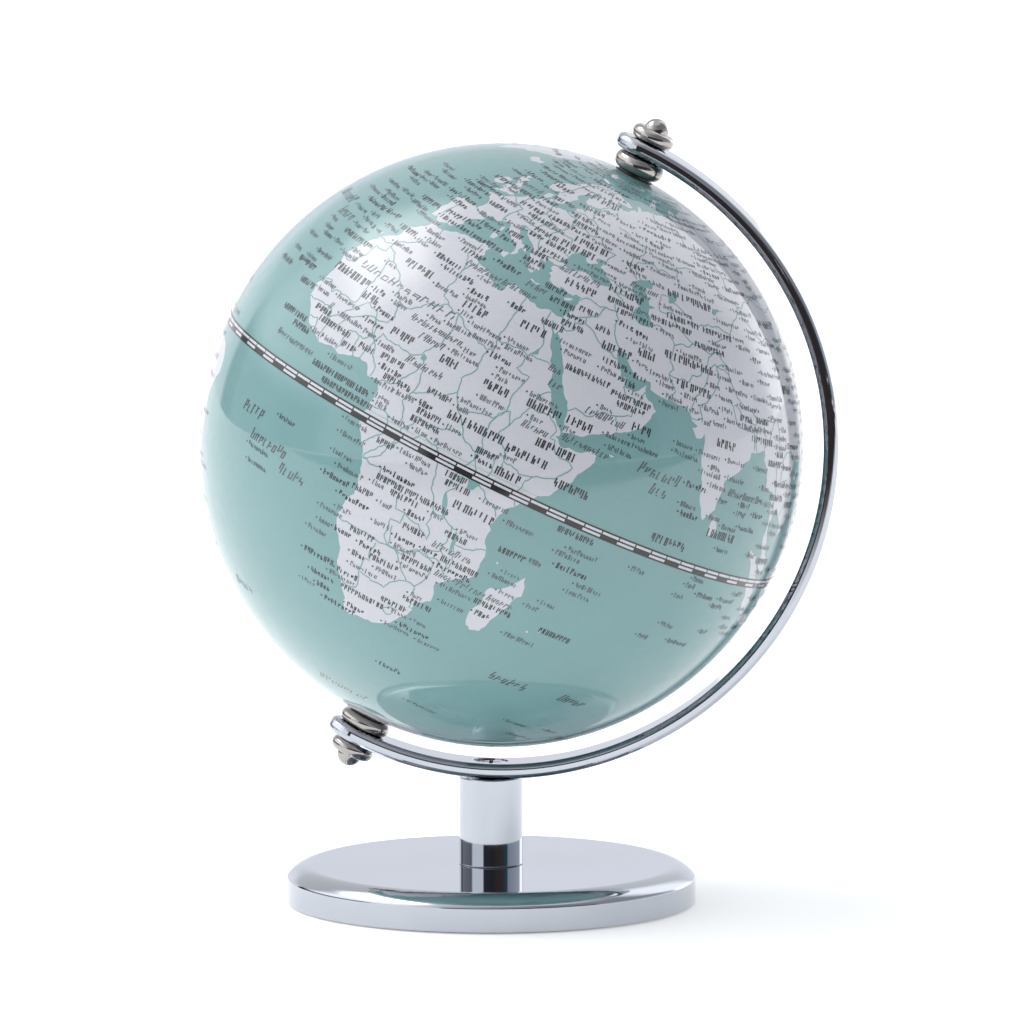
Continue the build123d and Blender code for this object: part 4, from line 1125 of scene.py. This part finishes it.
def arc_normal(point):
    """Outward direction of the plate's rounded surface near a point, from its shape."""
    offset = Vector(point) - ARC_CENTRE
    east, up = offset.dot(ARC_MIDDLE_WAY), offset.dot(POLE)
    s = math.atan2(east, up)
    if s < -math.pi / 2:
        s += 2 * math.pi
    s *= ARC_MID
    h = math.hypot(east, up) - ARC_MID
    _, out, along = arc_place(s, 0.0, 0.0)
    first, last = END_CENTRE, math.pi * ARC_MID - END_CENTRE
    nearest = min(max(s, first), last)
    ds, y = s - nearest, offset.y
    reach = math.hypot(ds, y)
    over = max(reach - (ARC_HALF_WIDTH - ARC_EDGE_ROUND), 0.0)
    rise = abs(h) - (ARC_THICKNESS / 2 - ARC_EDGE_ROUND)
    if over <= 1e-4:
        return out * math.copysign(1.0, h)
    side = (along * ds + Vector((0.0, y, 0.0))) / max(reach, 1e-6)
    return (side * over + out * math.copysign(max(rise, 0.0), h)).normalized()


def arc_mesh():
    """Points and faces of the plate: rings from its inner to its outer face, then the two faces."""
    layers = arc_layers()
    sides = [arc_side(inset) for inset, _ in layers]
    steps = len(sides[0])
    points, faces = [], []
    ring = 2 * (steps - 1)
    for (_, h), side in zip(layers, sides):
        loop = side + [(s, -y) for s, y in reversed(side[1:-1])]
        points.extend(tuple(arc_place(s, y, h)[0]) for s, y in loop)
    for layer in range(len(layers) - 1):
        here, there = layer * ring, (layer + 1) * ring
        for i in range(ring):
            k = (i + 1) % ring
            faces.append([here + i, here + k, there + k, there + i])
    for start, flip in ((0, True), ((len(layers) - 1) * ring, False)):
        for i in range(steps - 1):
            upper, upper_next = start + i, start + i + 1
            lower = start + (ring - i) % ring
            lower_next = start + ring - i - 1
            corners = list(dict.fromkeys([upper, upper_next, lower_next, lower]))
            faces.append(corners if flip else corners[::-1])
    return points, faces


def screw_hole_outline():
    """The hole for the arc's screw, with a cone for its head."""
    hole, head, below, cone_depth, head_depth, above = 1.85, 4.0, 1.0, 2.5, 0.4, 2.0
    low, high = POST_TOP - below, ARC_SCREW_HEAD_TOP + above
    cone_low, cone_high = ARC_SCREW_HEAD_TOP - cone_depth, ARC_SCREW_HEAD_TOP - head_depth
    return [(AT_AXIS, low), (hole, low), (hole, cone_low), (head, cone_high), (head, high), (AT_AXIS, high)]


def drill(piece, outline):
    """Cuts a turned outline out of a piece."""
    cutter = lathe("hole_cutter", outline, chrome, segments=96)
    cut = piece.modifiers.new("hole", "BOOLEAN")
    cut.operation = "DIFFERENCE"
    cut.object = cutter
    cut.solver = "EXACT"
    drilled = piece.evaluated_get(bpy.context.evaluated_depsgraph_get())
    cut_mesh = bpy.data.meshes.new_from_object(drilled)
    piece.modifiers.clear()
    piece.data = cut_mesh
    bpy.data.objects.remove(cutter)


SAME_DIRECTION = 0.9


def shade_arc(mesh):
    """Gives each corner the plate's own outward direction, or the face's inside the hole."""
    mesh.polygons.foreach_set("use_smooth", [True] * len(mesh.polygons))
    loop_normals = []
    for face in mesh.polygons:
        for index in face.vertices:
            surface = arc_normal(Vector(mesh.vertices[index].co) / MM)
            belongs = surface.dot(face.normal) > SAME_DIRECTION
            loop_normals.append(tuple(surface if belongs else face.normal))
    mesh.normals_split_custom_set(loop_normals)


arc = add_mesh("arc_strip", *arc_mesh(), [chrome])
bpy.context.view_layer.update()
drill(arc, screw_hole_outline())
shade_arc(arc.data)
on_stand(arc, "meridian_arc")


# CAD pieces shown as they are
SHOWN = [
    (screw_steel, ("arc_screw", "base_screw", "base_spring_washer", "north_axle_pin", "south_axle_pin")),
    (iron, ("base_weight",)),
    (moulded, ("north_shell", "south_shell", "equator_joint_ring")),
    (acetal, ("north_pole_bush", "south_pole_bush", "north_thrust_washer", "south_thrust_washer")),
]
for material, node_names in SHOWN:
    for node_name in node_names:
        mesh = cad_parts[node_name].data
        mesh.materials.clear()
        mesh.materials.append(material)


# Studio: a pale table that runs on to the horizon, and soft light painted all round. Lengths are in metres.
TABLE_REACH = 20.0
TABLE_GLOW = 0.36
CARD_FRONT, CARD_BACK, CARD_HALF_WIDTH, CARD_HEIGHT, CARD_FADE = -14.0, -0.45, 7.0, 0.001, 0.30
CARD_COLOUR = (0.050, 0.038, 0.037)


def flat_sheet(name, half_width, nearest, farthest, height, material):
    """A level sheet, as wide to the left as to the right, between two y places."""
    mesh = bpy.data.meshes.new(name)
    corners = [(-half_width, nearest), (half_width, nearest), (half_width, farthest), (-half_width, farthest)]
    mesh.from_pydata([(x, y, height) for x, y in corners], [], [(0, 1, 2, 3)])
    mesh.materials.append(material)
    return add_object(name, mesh)


def table_material():
    """Matt white that glows a little, so that it reads as white as the studio round it."""
    material, nodes, links, shader = new_material("table_white")
    shader.inputs["Roughness"].default_value = 0.8
    shader.inputs["Emission Color"].default_value = (1.0, 1.0, 1.0, 1.0)
    shader.inputs["Emission Strength"].default_value = TABLE_GLOW
    ramp(nodes, links, noise(nodes, links, 30.0), [(0.3, 0.86), (0.7, 0.88)], shader.inputs["Base Color"])
    return material


def card_material():
    """A dark card that fades away along the edge by the object."""
    material = bpy.data.materials.new("dark_card")
    material.use_nodes = True
    nodes, links = material.node_tree.nodes, material.node_tree.links
    nodes.clear()
    output = nodes.new("ShaderNodeOutputMaterial")
    mix = nodes.new("ShaderNodeMixShader")
    clear = nodes.new("ShaderNodeBsdfTransparent")
    dark = nodes.new("ShaderNodeEmission")
    dark.inputs["Color"].default_value = (*CARD_COLOUR, 1.0)
    place = nodes.new("ShaderNodeTexCoord")
    parts = nodes.new("ShaderNodeSeparateXYZ")
    fade = nodes.new("ShaderNodeMapRange")
    fade.interpolation_type = "SMOOTHSTEP"
    fade.inputs["From Min"].default_value = CARD_BACK
    fade.inputs["From Max"].default_value = CARD_BACK - CARD_FADE
    links.new(place.outputs["Object"], parts.inputs["Vector"])
    links.new(parts.outputs["Y"], fade.inputs["Value"])
    links.new(fade.outputs["Result"], mix.inputs["Fac"])
    links.new(clear.outputs["BSDF"], mix.inputs[1])
    links.new(dark.outputs["Emission"], mix.inputs[2])
    links.new(mix.outputs["Shader"], output.inputs["Surface"])
    return material


floor = flat_sheet("table", TABLE_REACH, -TABLE_REACH, TABLE_REACH, 0.0, table_material())

# A dark card lies on the table well in front, out of view. Only mirrors show it.
card = flat_sheet("dark_card", CARD_HALF_WIDTH, CARD_FRONT, CARD_BACK, CARD_HEIGHT, card_material())
card.visible_camera = card.visible_diffuse = card.visible_shadow = False

world = bpy.data.worlds.new("studio")
bpy.context.scene.world = world
world.use_nodes = True
nodes, links = world.node_tree.nodes, world.node_tree.links
background = nodes["Background"]


def math_node(operation, *values):
    """A math node of the given operation over sockets and plain numbers."""
    node = nodes.new("ShaderNodeMath")
    node.operation = operation
    for socket, value in zip(node.inputs, values):
        if isinstance(value, (int, float)):
            socket.default_value = value
        else:
            links.new(value, socket)
    return node.outputs["Value"]


def smooth_step(value, low, high):
    """Rises smoothly from none at low to one at high."""
    node = nodes.new("ShaderNodeMapRange")
    node.interpolation_type = "SMOOTHSTEP"
    links.new(value, node.inputs["Value"])
    node.inputs["From Min"].default_value = low
    node.inputs["From Max"].default_value = high
    return node.outputs["Result"]


def blend(factor, first, second):
    """One colour passing into another. Either may be a plain colour."""
    node = nodes.new("ShaderNodeMix")
    node.data_type = "RGBA"
    for socket_name, value in (("Factor", factor), ("A", first), ("B", second)):
        socket = node.inputs[socket_name]
        if isinstance(value, tuple):
            socket.default_value = (*value, 1.0)
        else:
            links.new(value, socket)
    return node.outputs["Result"]


where = nodes.new("ShaderNodeTexCoord").outputs["Generated"]
parts = nodes.new("ShaderNodeSeparateXYZ")
links.new(where, parts.inputs["Vector"])
toward_x, toward_y, toward_z = parts.outputs
# Degrees round from the viewer's side, positive to the viewer's right, and degrees above the table
around = math_node("DEGREES", math_node("ARCTAN2", toward_x, math_node("MULTIPLY", toward_y, -1.0)))
height = math_node("DEGREES", math_node("ARCSINE", toward_z))

# Light of the room by degrees round, below and above eye level
LOW_ROOM = [
    (-180, (0.89, 0.92, 1.00)), (-168, (0.89, 0.92, 1.00)), (-160, (1.10, 1.12, 1.18)),
    (-139, (1.10, 1.12, 1.18)), (-136, (0.03, 0.03, 0.035)), (-128, (0.03, 0.03, 0.035)),
    (-125, (0.34, 0.36, 0.40)), (-74, (0.24, 0.25, 0.28)), (-68, (1.22, 1.25, 1.30)),
    (-28, (1.22, 1.25, 1.30)), (-25, (0.05, 0.05, 0.06)), (13, (0.035, 0.035, 0.045)),
    (16, (0.06, 0.045, 0.04)), (46, (0.07, 0.055, 0.05)), (49, (0.04, 0.085, 0.10)),
    (62, (0.05, 0.10, 0.12)), (66, (0.45, 0.48, 0.56)), (126, (0.72, 0.75, 0.84)),
    (133, (2.40, 2.42, 2.48)), (150, (2.40, 2.42, 2.48)), (158, (0.95, 0.97, 1.02)),
    (180, (0.89, 0.92, 1.00))]
HIGH_ROOM = [
    (-180, (0.80, 0.81, 0.83)), (-135, (0.75, 0.76, 0.78)), (-120, (1.80, 1.82, 1.86)),
    (-55, (1.70, 1.72, 1.76)), (-30, (0.80, 0.81, 0.84)), (5, (0.45, 0.46, 0.49)),
    (36, (0.30, 0.31, 0.34)), (118, (0.42, 0.43, 0.46)), (133, (1.60, 1.62, 1.66)),
    (150, (1.60, 1.62, 1.66)), (160, (0.85, 0.86, 0.89)), (180, (0.80, 0.81, 0.83))]
CEILING = (0.96, 0.97, 1.00)
# Degrees above the table over which one part of the room passes into the next
LOW_TO_HIGH = (11.0, 20.0)
HIGH_TO_CEILING = (50.0, 70.0)


def round_the_room(stops):
    """Colour by degrees round, over the whole circle."""
    whole_circle = math_node("DIVIDE", math_node("ADD", around, 180.0), 360.0)
    return ramp(nodes, links, whole_circle, [((degrees + 180) / 360, colour) for degrees, colour in stops])


room = blend(smooth_step(height, *LOW_TO_HIGH), round_the_room(LOW_ROOM), round_the_room(HIGH_ROOM))
room = blend(smooth_step(height, *HIGH_TO_CEILING), room, CEILING)

# Softbox: up to the left and a little behind
SOFTBOX = Vector((-0.50, 0.16, 0.85)).normalized()
SOFTBOX_ACROSS = Vector((0.0, 0.0, 1.0)).cross(SOFTBOX).normalized()
SOFTBOX_UP = SOFTBOX.cross(SOFTBOX_ACROSS)
SOFTBOX_HALF_WIDTH, SOFTBOX_HALF_HEIGHT, SOFTBOX_STRENGTH = 0.34, 0.22, 3.8
# Shares of its half size where its light has just gone and where it is full
EDGE_OUT, EDGE_IN = 1.35, 0.55


def dot_with(axis):
    """How far the direction looked in leans towards an axis."""
    node = nodes.new("ShaderNodeVectorMath")
    node.operation = "DOT_PRODUCT"
    links.new(where, node.inputs[0])
    node.inputs[1].default_value = axis
    return node.outputs["Value"]


def edge(axis, half_size):
    """Falls from one to none across the softbox's soft edge."""
    return smooth_step(math_node("ABSOLUTE", dot_with(axis)), half_size * EDGE_OUT, half_size * EDGE_IN)


across, upward = edge(SOFTBOX_ACROSS, SOFTBOX_HALF_WIDTH), edge(SOFTBOX_UP, SOFTBOX_HALF_HEIGHT)
inside = math_node("MULTIPLY", across, upward)
inside = math_node("MULTIPLY", inside, math_node("GREATER_THAN", dot_with(SOFTBOX), 0.0))
glow = nodes.new("ShaderNodeVectorMath")
glow.operation = "SCALE"
glow.inputs[0].default_value = (1.0, 1.0, 1.0)
links.new(math_node("MULTIPLY", inside, SOFTBOX_STRENGTH), glow.inputs["Scale"])
total = nodes.new("ShaderNodeVectorMath")
total.operation = "ADD"
links.new(room, total.inputs[0])
links.new(glow.outputs["Vector"], total.inputs[1])
links.new(total.outputs["Vector"], background.inputs["Color"])
background.inputs["Strength"].default_value = 1.0

# Camera: a long lens, a little above the ball's middle. Where it stands, and where it looks.
SIDE_DEG, RISE_DEG, DISTANCE = 1.777, 7.290, 3.0901
YAW_DEG, PITCH_DEG, FOCAL_WIDTHS = 1.731, 7.577, 13.0354
SENSOR_WIDTH = 36.0


def away(round_deg, up_deg):
    """Unit vector from the object towards the viewer, turned round and up."""
    turn, up = math.radians(round_deg), math.radians(up_deg)
    return Vector((math.sin(turn) * math.cos(up), -math.cos(turn) * math.cos(up), math.sin(up)))


camera_data = bpy.data.cameras.new("camera")
camera_data.sensor_width = SENSOR_WIDTH
camera_data.lens = SENSOR_WIDTH * FOCAL_WIDTHS
camera_data.clip_start = 0.1
camera_data.clip_end = 100.0
camera = add_object("camera", camera_data)
aim = Vector((BALL_CENTRE.x * MM, 0.0, BALL_CENTRE.z * MM))
back = away(YAW_DEG, PITCH_DEG)
right = Vector((math.cos(math.radians(YAW_DEG)), math.sin(math.radians(YAW_DEG)), 0.0))
look = Matrix((right, back.cross(right), back)).transposed().to_4x4()
camera.matrix_world = Matrix.Translation(aim + DISTANCE * away(SIDE_DEG, RISE_DEG)) @ look
scene = bpy.context.scene
scene.camera = camera
scene.view_settings.view_transform = "Standard"
scene.view_settings.look = "None"
